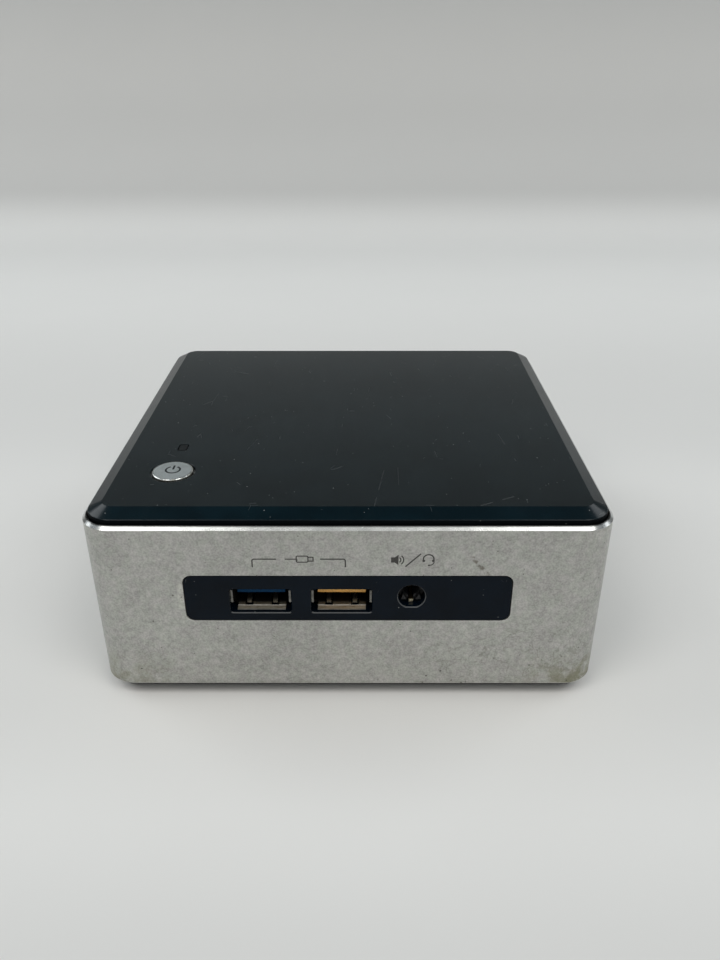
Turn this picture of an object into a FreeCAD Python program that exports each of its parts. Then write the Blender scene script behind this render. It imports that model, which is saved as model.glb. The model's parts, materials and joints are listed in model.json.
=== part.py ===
"""Small desktop computer in a square metal case, as an assembly of separate pieces.

Millimetres, +Z up. The origin is on the surface the computer stands on, under the middle of the case.
-Y is the front, with the two USB ports and the headset jack; +Y is the rear, with the other ports.
The circuit board hangs its connectors and memory downwards; the processor and the blower are above it.
The base cover carries the feet, the four captive screws and the 2.5 inch drive, and comes off downwards.
"""

import FreeCAD, Part
import math
import os
from FreeCAD import Vector

os.makedirs("parts", exist_ok=True)

# ---------------------------------------------------------------- driving dimensions
CASE_W, CASE_D, CASE_H = 115.0, 111.0, 48.7  # case width, depth, and feet to lid
CASE_R = 7.5  # corner radius in plan
WALL = 2.0
EPS = 1e-4
THROUGH = 1.0  # how far a cutting tool runs past the face it cuts

# heights
SHELL_Z0 = 3.8  # lower rim of the metal case
SHELL_Z1 = 46.15  # upper rim
LEDGE_Z0, LEDGE_Z1 = 42.55, 44.35  # inner ledge that carries the lid
COVER_Z0 = 1.75  # underside of the base cover
BOARD_Z0, BOARD_T = 30.85, 1.6
BOARD_Z1 = BOARD_Z0 + BOARD_T

# faces of the case
IN_X = CASE_W / 2 - WALL
FRONT_Y, REAR_Y = -CASE_D / 2, CASE_D / 2

# metal case
RIM_T = 0.95  # wall beside the lid
RIM_CHAMFER = 0.8
FOOT_FILLET = 0.25
WINDOW_EDGE_R = 0.12
LEDGE_W = 4.0
POST_XY = 45.7  # board posts, standoffs, captive screws and feet stand at (+-POST_XY, +-POST_XY)
POST_R = 3.4
PAD_FROM = 43.0  # the ledge's corner pads start here

# lid
LID_INSET = 1.29
LID_BEVEL_W, LID_BEVEL_H = 3.24, 1.55
LID_Z1 = CASE_H
LID_PLATE = 2.0
LID_SKIRT = 2.4
LID_SCREW_X, LID_SCREW_Y = 53.2, 41.5

# power button and drive light, on the lid
BUTTON_X, BUTTON_Y = -40.5, -34.8
BUTTON_R, BUTTON_PROUD = 4.65, 0.3
BUTTON_HOLE_R = 5.15
STEM_R = 1.5
LIGHT_X, LIGHT_Y = -40.6, -21.9
LIGHT_W, LIGHT_D = 1.9, 3.0
LIGHT_GAP, LIGHT_SUNK = 0.25, 0.02
SWITCH_BODY_H = 4.0
SWITCH_TOP_Z = 38.88

# front window
WINDOW_W, WINDOW_H, WINDOW_R, WINDOW_Z = 71.9, 12.05, 2.0, 27.95
BEZEL_FACE_Y = FRONT_Y + 0.1
USB_Z = 27.17
FRONT_USB_X = (-19.25, -1.4)
USB_CUT_W, USB_CUT_H = 13.45, 6.15
USB_W, USB_H, USB_SHEET = 13.1, 5.8, 0.35
JACK_X, JACK_Z = 13.98, 28.4
JACK_HOLE_R, JACK_FLAT = 3.0, 2.75
JACK_BORE_R = 1.8

# rear panel and its ports
REAR_W, REAR_Z0, REAR_Z1, REAR_R = 96.0, 12.6, 42.2, 3.0
PORT_FACE_Y = REAR_Y - 0.6
DC_X, DC_Z, DC_BORE_R, DC_PIN_R = 36.8, 25.2, 3.25, 1.2
DP_X, LAN_X, STACK_X, HDMI_X = 24.6, 9.5, -11.0, -28.0
STACK_PITCH = 8.2

# side vents
VENT_COUNT, VENT_PITCH, VENT_W = 21, 3.6, 1.8
VENT_Z0, VENT_Z1 = 33.6, 41.9

# board
BOARD_SIZE = 101.6

# blower
FAN_X, FAN_Y = -2.0, -6.0
FAN_Z0, FAN_Z1 = 37.2, 44.0
FAN_CAVITY_R, IMPELLER_R, HUB_R = 24.5, 22.4, 9.0
BLADES = 29
SHAFT_R, BUSH_R = 1.0, 2.4
FAN_SHEET = 0.8

# drive and its bracket
DRIVE_L, DRIVE_W, DRIVE_H = 100.0, 69.85, 7.0
DRIVE_X0, DRIVE_Z0 = -52.88, 6.0
BRACKET_T = 0.8
BRACKET_Z0 = 4.45
BRACKET_WALL_Y = 35.4
DRIVE_SCREW_X = (14.0, 90.6)  # from the connector end
DRIVE_SCREW_Z = 3.0

# feet and captive screws
FOOT_R, FOOT_HOLE_R, FOOT_POCKET = 6.2, 3.3, 0.6
SCREW_R = 1.45
STANDOFF_Z0 = 6.25
MOUNT_SCREW_Y = 43.0  # threaded holes for a monitor bracket, at (0, +-MOUNT_SCREW_Y)
MOUNT_HOLE_R = 1.5


# ---------------------------------------------------------------- shapes
def at(plane, u, v, level):
    """A point given in a plane's own two directions and its level along the third axis."""
    if plane == "z":
        return Vector(u, v, level)
    if plane == "y":
        return Vector(u, level, v)
    return Vector(level, u, v)


def normal(plane):
    return {"x": Vector(1, 0, 0), "y": Vector(0, 1, 0), "z": Vector(0, 0, 1)}[plane]


def box(x0, x1, y0, y1, z0, z1):
    return Part.makeBox(x1 - x0, y1 - y0, z1 - z0, Vector(x0, y0, z0))


def block(w, d, h, x, y, z0):
    """A box centred on x and y that stands on z0."""
    return box(x - w / 2, x + w / 2, y - d / 2, y + d / 2, z0, z0 + h)


def outline(plane, w, h, r, cu, cv, level):
    """A rounded rectangle as a wire."""
    a, b = w / 2, h / 2
    k = r * (1 - math.sqrt(0.5))
    corners = [(a, b, 1, 1), (-a, b, -1, 1), (-a, -b, -1, -1), (a, -b, 1, -1)]
    spots = []
    for x, y, sx, sy in corners:
        along_y = (x, y - sy * r)
        along_x = (x - sx * r, y)
        middle = (x - sx * k, y - sy * k)
        spots.append((along_y, middle, along_x) if sx * sy > 0 else (along_x, middle, along_y))
    edges = []
    for i, (first, middle, last) in enumerate(spots):
        p, m, q = (at(plane, cu + s[0], cv + s[1], level) for s in (first, middle, last))
        edges.append(Part.Arc(p, m, q).toShape())
        n = spots[(i + 1) % 4][0]
        edges.append(Part.makeLine(q, at(plane, cu + n[0], cv + n[1], level)))
    return Part.Wire(edges)


def slab(plane, w, h, r, cu, cv, a, b):
    """A rounded rectangle made solid between two levels."""
    face = Part.Face(outline(plane, w, h, r, cu, cv, a))
    return face.extrude(normal(plane) * (b - a))


def rod(plane, r, cu, cv, a, b):
    return Part.makeCylinder(r, b - a, at(plane, cu, cv, a), normal(plane))


def ring(plane, r_out, r_in, cu, cv, a, b):
    inner = rod(plane, r_in, cu, cv, a - THROUGH, b + THROUGH)
    return rod(plane, r_out, cu, cv, a, b).cut(inner)


def polygon(plane, points, a, b):
    """A straight-sided outline made solid between two levels."""
    corners = [at(plane, u, v, a) for u, v in points]
    face = Part.Face(Part.makePolygon(corners + corners[:1]))
    return face.extrude(normal(plane) * (b - a))


def joined(shapes):
    return shapes[0].multiFuse(shapes[1:]).removeSplitter()


def less(shape, tools):
    return shape.cut(list(tools))


def group(shapes):
    solids = [s for shape in shapes for s in shape.Solids]
    return Part.makeCompound(solids)


def level_edges(shape, plane, level):
    """The edges of shape that lie in a plane."""
    k = "xyz".index(plane)
    return [e for e in shape.Edges if all(abs(v.Point[k] - level) < EPS for v in e.Vertexes)
            and abs(e.BoundBox.Center[k] - level) < EPS]


def all_signs(x, y):
    return [(sx * x, sy * y) for sx in (-1, 1) for sy in (-1, 1)]


def screw(x, y, head_z, tip_z, shank_r, head_r, head_h):
    """A cross-head screw. Its head's seat is at head_z and its shank runs to tip_z, up or down."""
    up = 1 if tip_z > head_z else -1
    low, high = sorted((head_z, tip_z))
    back = head_z - up * head_h
    head = rod("z", head_r, x, y, min(back, head_z), max(back, head_z))
    head = head.makeChamfer(head_h * 0.25, level_edges(head, "z", back))
    shank = rod("z", shank_r, x, y, low, high)
    slot_w, slot_l, slot_h = head_r * 0.28, head_r * 1.1, head_h * 0.55
    slot_z = back if up > 0 else back - slot_h
    cross = [block(slot_w, slot_l, slot_h, x, y, slot_z), block(slot_l, slot_w, slot_h, x, y, slot_z)]
    return less(joined([head, shank]), cross)


def sheet_path(plane, start, heading, steps, thickness, a, b):
    """A bent strip. Steps are ("run", length) or ("turn", radius, degrees), in the plane's two directions."""
    u, v = start
    angle = math.radians(heading)
    sides = {1: [], -1: []}
    ends = []
    half = thickness / 2

    def off(side, radius=None, centre=None, phi=None):
        if radius is None:
            return at(plane, u - side * half * math.sin(angle), v + side * half * math.cos(angle), a)
        return at(plane, centre[0] + radius * math.cos(phi), centre[1] + radius * math.sin(phi), a)

    ends.append({s: off(s) for s in sides})
    for step in steps:
        if step[0] == "run":
            before = {s: off(s) for s in sides}
            u += step[1] * math.cos(angle)
            v += step[1] * math.sin(angle)
            for s in sides:
                sides[s].append(Part.makeLine(before[s], off(s)))
            continue
        radius, turn = step[1], math.radians(step[2])
        bend = 1 if turn > 0 else -1
        centre = (u - bend * radius * math.sin(angle), v + bend * radius * math.cos(angle))
        phi = math.atan2(v - centre[1], u - centre[0])
        for s in sides:
            r = radius - s * bend * half
            arc = [off(s, r, centre, phi + turn * k) for k in (0, 0.5, 1)]
            sides[s].append(Part.Arc(*arc).toShape())
        u = centre[0] + radius * math.cos(phi + turn)
        v = centre[1] + radius * math.sin(phi + turn)
        angle += turn
    ends.append({s: off(s) for s in sides})
    edges = sides[1] + [Part.makeLine(ends[1][1], ends[1][-1])]
    edges += sides[-1][::-1] + [Part.makeLine(ends[0][-1], ends[0][1])]
    face = Part.Face(Part.Wire(Part.__sortEdges__(edges)))
    return face.extrude(normal(plane) * (b - a))


def tube(points, radius, share=0.45):
    """A round lead along straight runs joined by tangent arcs, each as large as its two runs allow."""
    spots = [Vector(*p) for p in points]
    edges, start = [], spots[0]
    for before, corner, after in zip(spots, spots[1:], spots[2:]):
        into, out = (corner - before), (after - corner)
        short = min(into.Length, out.Length) * share
        into.normalize()
        out.normalize()
        turn = into.getAngle(out)
        bend_r = short / math.tan(turn / 2)
        p, q = corner - into * short, corner + out * short
        inward = (out - into).normalize()
        centre = corner + inward * (bend_r / math.cos(turn / 2))
        middle = centre - inward * bend_r
        edges.append(Part.makeLine(start, p))
        edges.append(Part.Arc(p, middle, q).toShape())
        start = q
    edges.append(Part.makeLine(start, spots[-1]))
    path = Part.Wire(edges)
    section = Part.Wire(Part.makeCircle(radius, spots[0], spots[1] - spots[0]))
    return path.makePipeShell([section], True, False)


def save(name, shape):
    solids = shape.Solids
    for solid in solids:
        if not solid.isValid() or solid.Volume <= 0:
            raise ValueError(f"{name} has a bad solid of volume {solid.Volume}")
    whole = solids[0] if len(solids) == 1 else Part.makeCompound(solids)
    whole.exportStep(f"parts/{name}.step")
    print(f"{name}: {len(solids)} solids, {sum(s.Volume for s in solids):.1f} mm3")


# ---------------------------------------------------------------- case and lid
def case_slab(inset, z0, z1):
    """The case's outline in plan, moved inwards and made solid."""
    return slab("z", CASE_W - 2 * inset, CASE_D - 2 * inset, CASE_R - inset, 0, 0, z0, z1)


def vent_slots(side):
    """The upright slots through one side wall."""
    height = VENT_Z1 - VENT_Z0
    middle = (VENT_Z0 + VENT_Z1) / 2
    x = side * (CASE_W / 2 - WALL / 2)
    first = -(VENT_COUNT - 1) / 2 * VENT_PITCH
    reach = WALL / 2 + THROUGH
    return [slab("x", VENT_W, height, VENT_W / 2 - 0.01, first + i * VENT_PITCH, middle, x - reach, x + reach)
            for i in range(VENT_COUNT)]


def main_shell():
    body = slab("z", CASE_W, CASE_D, CASE_R, 0, 0, SHELL_Z0, SHELL_Z1)
    body = body.makeChamfer(RIM_CHAMFER, level_edges(body, "z", SHELL_Z1))
    body = body.makeFillet(FOOT_FILLET, level_edges(body, "z", SHELL_Z0))
    opening_inset = WALL + LEDGE_W
    hollow = [
        case_slab(WALL, SHELL_Z0 - THROUGH, LEDGE_Z0),
        case_slab(opening_inset, LEDGE_Z0 - THROUGH, LEDGE_Z1 + THROUGH),
        case_slab(RIM_T, LEDGE_Z1, SHELL_Z1 + THROUGH),
    ]
    body = less(body, hollow)
    extras = []
    for x, y in all_signs(POST_XY, POST_XY):
        sx, sy = math.copysign(1, x), math.copysign(1, y)
        pad = box(*sorted((sx * PAD_FROM, sx * CASE_W / 2)), *sorted((sy * PAD_FROM, sy * CASE_D / 2)),
                  LEDGE_Z0, LEDGE_Z1)
        extras.append(pad.common(case_slab(WALL / 2, LEDGE_Z0, LEDGE_Z1)))
        extras.append(rod("z", POST_R, x, y, BOARD_Z1, LEDGE_Z0 + WALL / 2))
        web = box(*sorted((x, sx * (IN_X + WALL / 2))), y - 1, y + 1, BOARD_Z1 + 1.5, LEDGE_Z0 + 0.5)
        extras.append(web)
    body = joined([body] + extras)
    reach = WALL + THROUGH
    window = slab("y", WINDOW_W, WINDOW_H, WINDOW_R, 0, WINDOW_Z, FRONT_Y - THROUGH, FRONT_Y + reach)
    rear_h = REAR_Z1 - REAR_Z0
    rear = slab("y", REAR_W, rear_h, REAR_R, 0, (REAR_Z0 + REAR_Z1) / 2, REAR_Y - reach, REAR_Y + THROUGH)
    lock = slab("x", 7.0, 3.0, 1.0, 44.0, 15.0, -CASE_W / 2 - THROUGH, -CASE_W / 2 + reach)
    tools = [window, rear, lock] + vent_slots(-1) + vent_slots(1)
    tools += [rod("z", 1.05, x, y, LEDGE_Z0 - THROUGH, LEDGE_Z1 + THROUGH)
              for x, y in all_signs(LID_SCREW_X, LID_SCREW_Y)]
    tools += [rod("z", 1.3, x, y, BOARD_Z1 - THROUGH, BOARD_Z1 + 7.0) for x, y in all_signs(POST_XY, POST_XY)]
    body = less(body, tools)
    soft = [e for e in level_edges(body, "y", FRONT_Y) if e.BoundBox.ZMin > WINDOW_Z - WINDOW_H / 2 - EPS
            and e.BoundBox.ZMax < WINDOW_Z + WINDOW_H / 2 + EPS]
    return body.makeFillet(WINDOW_EDGE_R, soft)


def case_outline(inset, z):
    return outline("z", CASE_W - 2 * inset, CASE_D - 2 * inset, CASE_R - inset, 0, 0, z)


def top_lid():
    bevel_z = LID_Z1 - LID_BEVEL_H
    lower = case_slab(LID_INSET, LEDGE_Z1, bevel_z)
    crown = Part.makeLoft([case_outline(LID_INSET, bevel_z), case_outline(LID_INSET + LID_BEVEL_W, LID_Z1)],
                          True, True)
    body = joined([lower, crown])
    body = body.makeFillet(0.25, level_edges(body, "z", LID_Z1) + level_edges(body, "z", bevel_z))
    under = LID_Z1 - LID_PLATE
    body = less(body, [case_slab(LID_INSET + LID_SKIRT, LEDGE_Z1 - THROUGH, under)])
    room = case_slab(LID_INSET + 0.5, LEDGE_Z1, under + 0.5)
    extras = []
    for x, y in all_signs(LID_SCREW_X, LID_SCREW_Y):
        extras.append(block(5.0, 6.0, under + 0.5 - LEDGE_Z1, x, y, LEDGE_Z1).common(room))
    for k in (-1, 1):
        extras.append(box(-30, 30, k * 30 - 0.6, k * 30 + 0.6, under - 1.2, under + 0.5))
        extras.append(box(k * 15 - 0.6, k * 15 + 0.6, -30, 30, under - 1.2, under + 0.5))
    body = joined([body] + extras)
    tools = [rod("z", 0.92, x, y, LEDGE_Z1 - THROUGH, 46.2) for x, y in all_signs(LID_SCREW_X, LID_SCREW_Y)]
    tools.append(rod("z", BUTTON_HOLE_R, BUTTON_X, BUTTON_Y, under - THROUGH, LID_Z1 + THROUGH))
    tools.append(slab("z", LIGHT_W + 2 * LIGHT_GAP, LIGHT_D + 2 * LIGHT_GAP, 0.6, LIGHT_X, LIGHT_Y,
                      under - THROUGH, LID_Z1 + THROUGH))
    body = less(body, tools)
    rim = [e for e in level_edges(body, "z", LID_Z1)
           if abs(e.BoundBox.Center.x - BUTTON_X) < BUTTON_HOLE_R and abs(e.BoundBox.Center.y - BUTTON_Y) < 6]
    return body.makeFillet(0.2, rim)


def lid_screws():
    return group([screw(x, y, LEDGE_Z0, 46.0, 0.9, 1.9, 1.1) for x, y in all_signs(LID_SCREW_X, LID_SCREW_Y)])


# ---------------------------------------------------------------- power button and drive light
GUIDE_Z0, GUIDE_FLOOR = 41.6, 1.0
GUIDE_R, GUIDE_WALL = 7.2, 0.9
FLANGE_Z0, FLANGE_Z1, FLANGE_R = 45.6, LID_Z1 - LID_PLATE - 0.02, 5.9
SPRING_R, SPRING_WIRE_R, SPRING_TURNS, SPRING_STEPS = 3.6, 0.2, 4, 12


def power_button():
    top = LID_Z1 + BUTTON_PROUD
    cap = rod("z", BUTTON_R, BUTTON_X, BUTTON_Y, FLANGE_Z1, top)
    cap = cap.makeFillet(0.3, level_edges(cap, "z", top))
    flange = rod("z", FLANGE_R, BUTTON_X, BUTTON_Y, FLANGE_Z0, FLANGE_Z1)
    stem = rod("z", STEM_R, BUTTON_X, BUTTON_Y, SWITCH_TOP_Z + 0.02, FLANGE_Z0)
    return joined([cap, flange, stem])


def button_guide():
    under = LID_Z1 - LID_PLATE
    cup = ring("z", GUIDE_R, GUIDE_R - GUIDE_WALL, BUTTON_X, BUTTON_Y, GUIDE_Z0, under)
    floor = ring("z", GUIDE_R - GUIDE_WALL / 2, STEM_R + 0.06, BUTTON_X, BUTTON_Y,
                 GUIDE_Z0, GUIDE_Z0 + GUIDE_FLOOR)
    return joined([cup, floor])


def button_spring():
    low = GUIDE_Z0 + GUIDE_FLOOR + SPRING_WIRE_R + 0.02
    high = FLANGE_Z0 - SPRING_WIRE_R - 0.02
    points = []
    steps = SPRING_TURNS * SPRING_STEPS
    for i in range(steps + 1):
        angle = 2 * math.pi * i / SPRING_STEPS
        height = low + (high - low) * i / steps
        points.append((BUTTON_X + SPRING_R * math.cos(angle), BUTTON_Y + SPRING_R * math.sin(angle), height))
    return tube(points, SPRING_WIRE_R)


def drive_light_pipe():
    head = slab("z", LIGHT_W, LIGHT_D, 0.4, LIGHT_X, LIGHT_Y, LID_Z1 - LID_PLATE, LID_Z1 - LIGHT_SUNK)
    flange = slab("z", LIGHT_W + 2.4, LIGHT_D + 2.0, 0.6, LIGHT_X, LIGHT_Y, 45.5, LID_Z1 - LID_PLATE)
    stem = slab("z", 2.0, 2.0, 0.3, LIGHT_X, LIGHT_Y, BOARD_Z1 + 1.6, 45.5)
    return joined([head, flange, stem])


def switch_body():
    case = slab("z", 6.0, 6.0, 0.4, BUTTON_X, BUTTON_Y, BOARD_Z1, BOARD_Z1 + SWITCH_BODY_H)
    well = rod("z", 1.8, BUTTON_X, BUTTON_Y, BOARD_Z1 + 1.5, BOARD_Z1 + SWITCH_BODY_H + THROUGH)
    return less(case, [well])


def switch_plunger():
    return rod("z", 1.7, BUTTON_X, BUTTON_Y, BOARD_Z1 + 2.4, SWITCH_TOP_Z)


# ---------------------------------------------------------------- front panel
def jack_outline_tool(r, flat, y0, y1):
    """The round hole with a flat below that the headset jack shows through."""
    disc = rod("y", r, JACK_X, JACK_Z, y0, y1)
    below = box(JACK_X - 2 * r, JACK_X + 2 * r, y0 - THROUGH, y1 + THROUGH, JACK_Z - 2 * r, JACK_Z - flat)
    return disc.cut(below)


def front_bezel():
    gap = 0.15
    back_y = FRONT_Y + WALL + 0.02
    plate = slab("y", WINDOW_W - 2 * gap, WINDOW_H - 2 * gap, WINDOW_R - gap, 0, WINDOW_Z,
                 BEZEL_FACE_Y, back_y)
    plate = plate.makeFillet(WINDOW_EDGE_R, level_edges(plate, "y", BEZEL_FACE_Y))
    flange = slab("y", WINDOW_W + 5, WINDOW_H + 3.6, 2.5, 0, WINDOW_Z, back_y, back_y + 1.3)
    body = joined([plate, flange])
    y0, y1 = BEZEL_FACE_Y - THROUGH, back_y + 1.3 + THROUGH
    tools = [slab("y", USB_CUT_W, USB_CUT_H, 0.7, x, USB_Z, y0, y1) for x in FRONT_USB_X]
    tools.append(jack_outline_tool(JACK_HOLE_R, JACK_FLAT, y0, y1))
    body = less(body, tools)
    rims = [e for e in level_edges(body, "y", BEZEL_FACE_Y)
            if e.BoundBox.XLength < 2 * USB_CUT_W and abs(e.BoundBox.Center.x) < WINDOW_W / 2 - 2 * WINDOW_R]
    return body.makeChamfer(0.2, rims)


def infrared_receiver():
    x, y = -31.0, FRONT_Y + WALL + 2.3
    case = slab("y", 6.0, 5.2, 0.6, x, WINDOW_Z, y + 1.0, y + 4.0)
    dome = Part.makeSphere(2.3, Vector(x, y + 1.6, WINDOW_Z + 0.2))
    dome = dome.common(box(x - 3, x + 3, y - 1, y + 1.2, WINDOW_Z - 3, WINDOW_Z + 3))
    legs = [box(x + k - 0.3, x + k + 0.3, y + 2.2, y + 2.8, WINDOW_Z + 2.0, BOARD_Z0) for k in (-2, 0, 2)]
    return joined([case, dome] + legs)


USB_FACE_Y, USB_BACK_Y = BEZEL_FACE_Y + 1.2, FRONT_Y + 14.5
USB_TONGUE_W, USB_TONGUE_T = 10.6, 1.84
USB_LIP_Y, USB_MOUTH_Y = BEZEL_FACE_Y + 1.0, BEZEL_FACE_Y + 2.2
USB_LIP_HALF = 5.35  # the lips above and below reach this far to either side
USB_LEAF_X, USB_LEAF_W, USB_SLOT_W = 2.9, 1.0, 1.75
USB_LEAF_PATH = ((0.7, 0.45), (2.7, 1.35), (5.8, 0.0))  # (behind the mouth, above the floor)


def front_usb_shell(x):
    """The pressed sheet shell of a front USB socket.

    Its tube starts behind the window. Lips flare out of it on all four sides, its lower corners are open,
    and two sprung leaves stand in slots in its floor.
    """
    half_w, half_h = USB_W / 2, USB_H / 2
    tube_outer = slab("y", USB_W, USB_H, 0.5, x, USB_Z, USB_MOUTH_Y, USB_BACK_Y)
    tube_inner = slab("y", USB_W - 2 * USB_SHEET, USB_H - 2 * USB_SHEET, 0.2, x, USB_Z,
                      USB_MOUTH_Y - THROUGH, USB_BACK_Y - USB_SHEET)
    corner_z, side_top = USB_Z - half_h + 1.95, USB_Z + half_h - 0.7
    floor = USB_Z - half_h + USB_SHEET / 2
    tools = [tube_inner]
    added = []
    for k in (-1, 1):
        inner, outer = k * (half_h - USB_SHEET), k * half_h
        lip = [(USB_MOUTH_Y, USB_Z + inner), (USB_MOUTH_Y, USB_Z + outer),
               (USB_LIP_Y, USB_Z + outer + k * 0.12), (USB_LIP_Y, USB_Z + outer + k * 0.03)]
        added.append(polygon("x", lip, x - USB_LIP_HALF, x + USB_LIP_HALF))
        wing = [(x + k * (half_w - USB_SHEET), USB_MOUTH_Y), (x + k * half_w, USB_MOUTH_Y),
                (x + k * (half_w + 0.11), USB_LIP_Y), (x + k * (half_w - USB_SHEET), USB_LIP_Y)]
        added.append(polygon("z", wing, corner_z, side_top))
        tools.append(box(*sorted((x + k * USB_LIP_HALF, x + k * (half_w + THROUGH))),
                         USB_MOUTH_Y - THROUGH, USB_MOUTH_Y + 1.7, USB_Z - half_h - THROUGH, corner_z))
        cx = x + k * USB_LEAF_X
        tools.append(box(cx - USB_SLOT_W / 2, cx + USB_SLOT_W / 2, USB_MOUTH_Y, USB_MOUTH_Y + 5.4,
                         floor - 0.5, floor + 0.5))
    leaves = []
    for k in (-1, 1):
        cx = x + k * USB_LEAF_X
        path = [(USB_MOUTH_Y + run, floor + rise) for run, rise in USB_LEAF_PATH]
        half = USB_SHEET / 2
        profile = [(y, z + half) for y, z in path] + [(y, z - half) for y, z in path[::-1]]
        leaves.append(polygon("x", profile, cx - USB_LEAF_W / 2, cx + USB_LEAF_W / 2))
    tube = less(tube_outer, tools)
    return joined([tube] + added + leaves)


def usb_tongue(x, z, face, back):
    """The plastic tongue that carries the contacts, near the top wall, on a block at the back."""
    into = 1 if back > face else -1
    top = z + USB_H / 2 - USB_SHEET - 0.2
    tip, root = face + into * 1.15, back - into * (USB_SHEET + 0.02)
    y0, y1 = sorted((tip, root))
    tongue = box(x - USB_TONGUE_W / 2, x + USB_TONGUE_W / 2, y0, y1, top - USB_TONGUE_T, top)
    long_edges = [e for e in level_edges(tongue, "y", tip) if e.Length > USB_TONGUE_W / 2]
    tongue = tongue.makeChamfer(0.4, long_edges)
    b0, b1 = sorted((face + into * 9.6, root))
    half_w, half_h = USB_W / 2 - USB_SHEET - 0.02, USB_H / 2 - USB_SHEET - 0.72
    rear = box(x - half_w, x + half_w, b0, b1, z - half_h, z + half_h)
    return joined([tongue, rear])


def usb_contacts(x, z, face, back):
    """Four broad and five narrow contacts under the tongue."""
    into = 1 if back > face else -1
    under = z + USB_H / 2 - USB_SHEET - 0.2 - USB_TONGUE_T
    strips = []
    for k in (-3.5, -1.0, 1.0, 3.5):
        y0, y1 = sorted((face + into * 4.4, face + into * 9.5))
        strips.append(box(x + k - 0.5, x + k + 0.5, y0, y1, under - 0.14, under - 0.01))
    for k in (-4.0, -2.0, 0.0, 2.0, 4.0):
        y0, y1 = sorted((face + into * 1.8, face + into * 4.0))
        strips.append(box(x + k - 0.3, x + k + 0.3, y0, y1, under - 0.11, under - 0.01))
    return strips


JACK_FACE_Y, JACK_BACK_Y = BEZEL_FACE_Y + 3.0, FRONT_Y + 15.0
JACK_BORE_L = 10.9
JACK_RIB_Y = BEZEL_FACE_Y + 1.6
JACK_LEGS = ((-2.2, JACK_BACK_Y - 3.0), (2.2, JACK_BACK_Y - 3.0), (-2.2, JACK_BACK_Y - 8.0))


def audio_jack_body():
    """The headset jack's moulding. Two ribs with peaked tops reach forward beside the plug's way in."""
    barrel = jack_outline_tool(JACK_HOLE_R - 0.2, JACK_FLAT - 0.2, JACK_FACE_Y, FRONT_Y + 4.0)
    case = box(JACK_X - 3.1, JACK_X + 3.1, FRONT_Y + 3.6, JACK_BACK_Y, JACK_Z - 2.9, BOARD_Z0)
    ribs = []
    for k in (-1, 1):
        peak = [(JACK_X + k * side, JACK_Z + rise) for side, rise in ((1.0, -1.8), (2.25, -1.8), (1.75, -0.4))]
        ribs.append(polygon("y", peak, JACK_RIB_Y, JACK_FACE_Y + 0.5))
    body = joined([barrel, case] + ribs)
    bore = rod("y", JACK_BORE_R, JACK_X, JACK_Z, JACK_RIB_Y - THROUGH, JACK_FACE_Y + JACK_BORE_L)
    mouth = Vector(JACK_X, JACK_FACE_Y, JACK_Z)
    lead_in = Part.makeCone(JACK_BORE_R + 0.35, JACK_BORE_R, 0.35, mouth, normal("y"))
    slot = box(JACK_X - 0.6, JACK_X + 0.6, JACK_FACE_Y - THROUGH, JACK_FACE_Y + 5.0, JACK_Z - 2.45, JACK_Z)
    return less(body, [bore, lead_in, slot])


def audio_jack_contacts():
    """A spring in the slot under the bore, whose bent end shows in front, and three legs to the board."""
    x0, x1 = JACK_X - 0.475, JACK_X + 0.475
    tip_y, root_y = JACK_RIB_Y + 0.3, JACK_FACE_Y + 4.9
    top = JACK_Z - JACK_BORE_R - 0.15
    leaf = box(x0, x1, tip_y, root_y, top - 0.2, top)
    tab = box(x0, x1, tip_y, tip_y + 0.2, top - 0.7, top)
    foot = box(x0, x1, root_y - 0.6, root_y, JACK_Z - 2.44, top)
    legs = [box(JACK_X + k - 0.4, JACK_X + k + 0.4, y - 0.25, y + 0.25, BOARD_Z0 + 0.01, BOARD_Z1 + 0.6)
            for k, y in JACK_LEGS]
    return group([joined([leaf, tab, foot])] + legs)


# ---------------------------------------------------------------- rear panel and ports
GRILLE_COUNT, GRILLE_PITCH, GRILLE_W = 23, 3.8, 2.2
GRILLE_Z0, GRILLE_Z1 = 33.4, 41.0


def rear_panel():
    gap = 0.15
    height = REAR_Z1 - REAR_Z0
    middle = (REAR_Z0 + REAR_Z1) / 2
    face, back = REAR_Y - 0.35, REAR_Y - WALL - 0.02
    plate = slab("y", REAR_W - 2 * gap, height - 2 * gap, REAR_R - gap, 0, middle, back, face)
    flange = slab("y", REAR_W + 4, height - 2 * gap, REAR_R, 0, middle, back - 1.2, back)
    body = joined([plate, flange])
    y0, y1 = back - 1.2 - THROUGH, face + THROUGH
    tools = []
    first = -(GRILLE_COUNT - 1) / 2 * GRILLE_PITCH
    grille_h, grille_z = GRILLE_Z1 - GRILLE_Z0, (GRILLE_Z0 + GRILLE_Z1) / 2
    for i in range(GRILLE_COUNT):
        x = first + i * GRILLE_PITCH
        tools.append(slab("y", GRILLE_W, grille_h, GRILLE_W / 2 - 0.01, x, grille_z, y0, y1))
    tools.append(rod("y", 4.1, DC_X, DC_Z, y0, y1))
    tools.append(slab("y", DP_SIZE[0] + 0.4, DP_SIZE[1] + 0.4, 0.8, DP_X, DP_Z, y0, y1))
    tools.append(slab("y", HDMI_SIZE[0] + 0.4, HDMI_SIZE[1] + 0.4, 0.8, HDMI_X, HDMI_Z, y0, y1))
    tools.append(slab("y", LAN_SIZE[0] + 0.3, LAN_SIZE[1] + 0.3, 0.5, LAN_X, LAN_Z, y0, y1))
    tools.append(slab("y", STACK_SIZE[0] + 0.3, STACK_SIZE[1] + 0.3, 0.6, STACK_X, STACK_Z, y0, y1))
    return less(body, tools)


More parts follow.
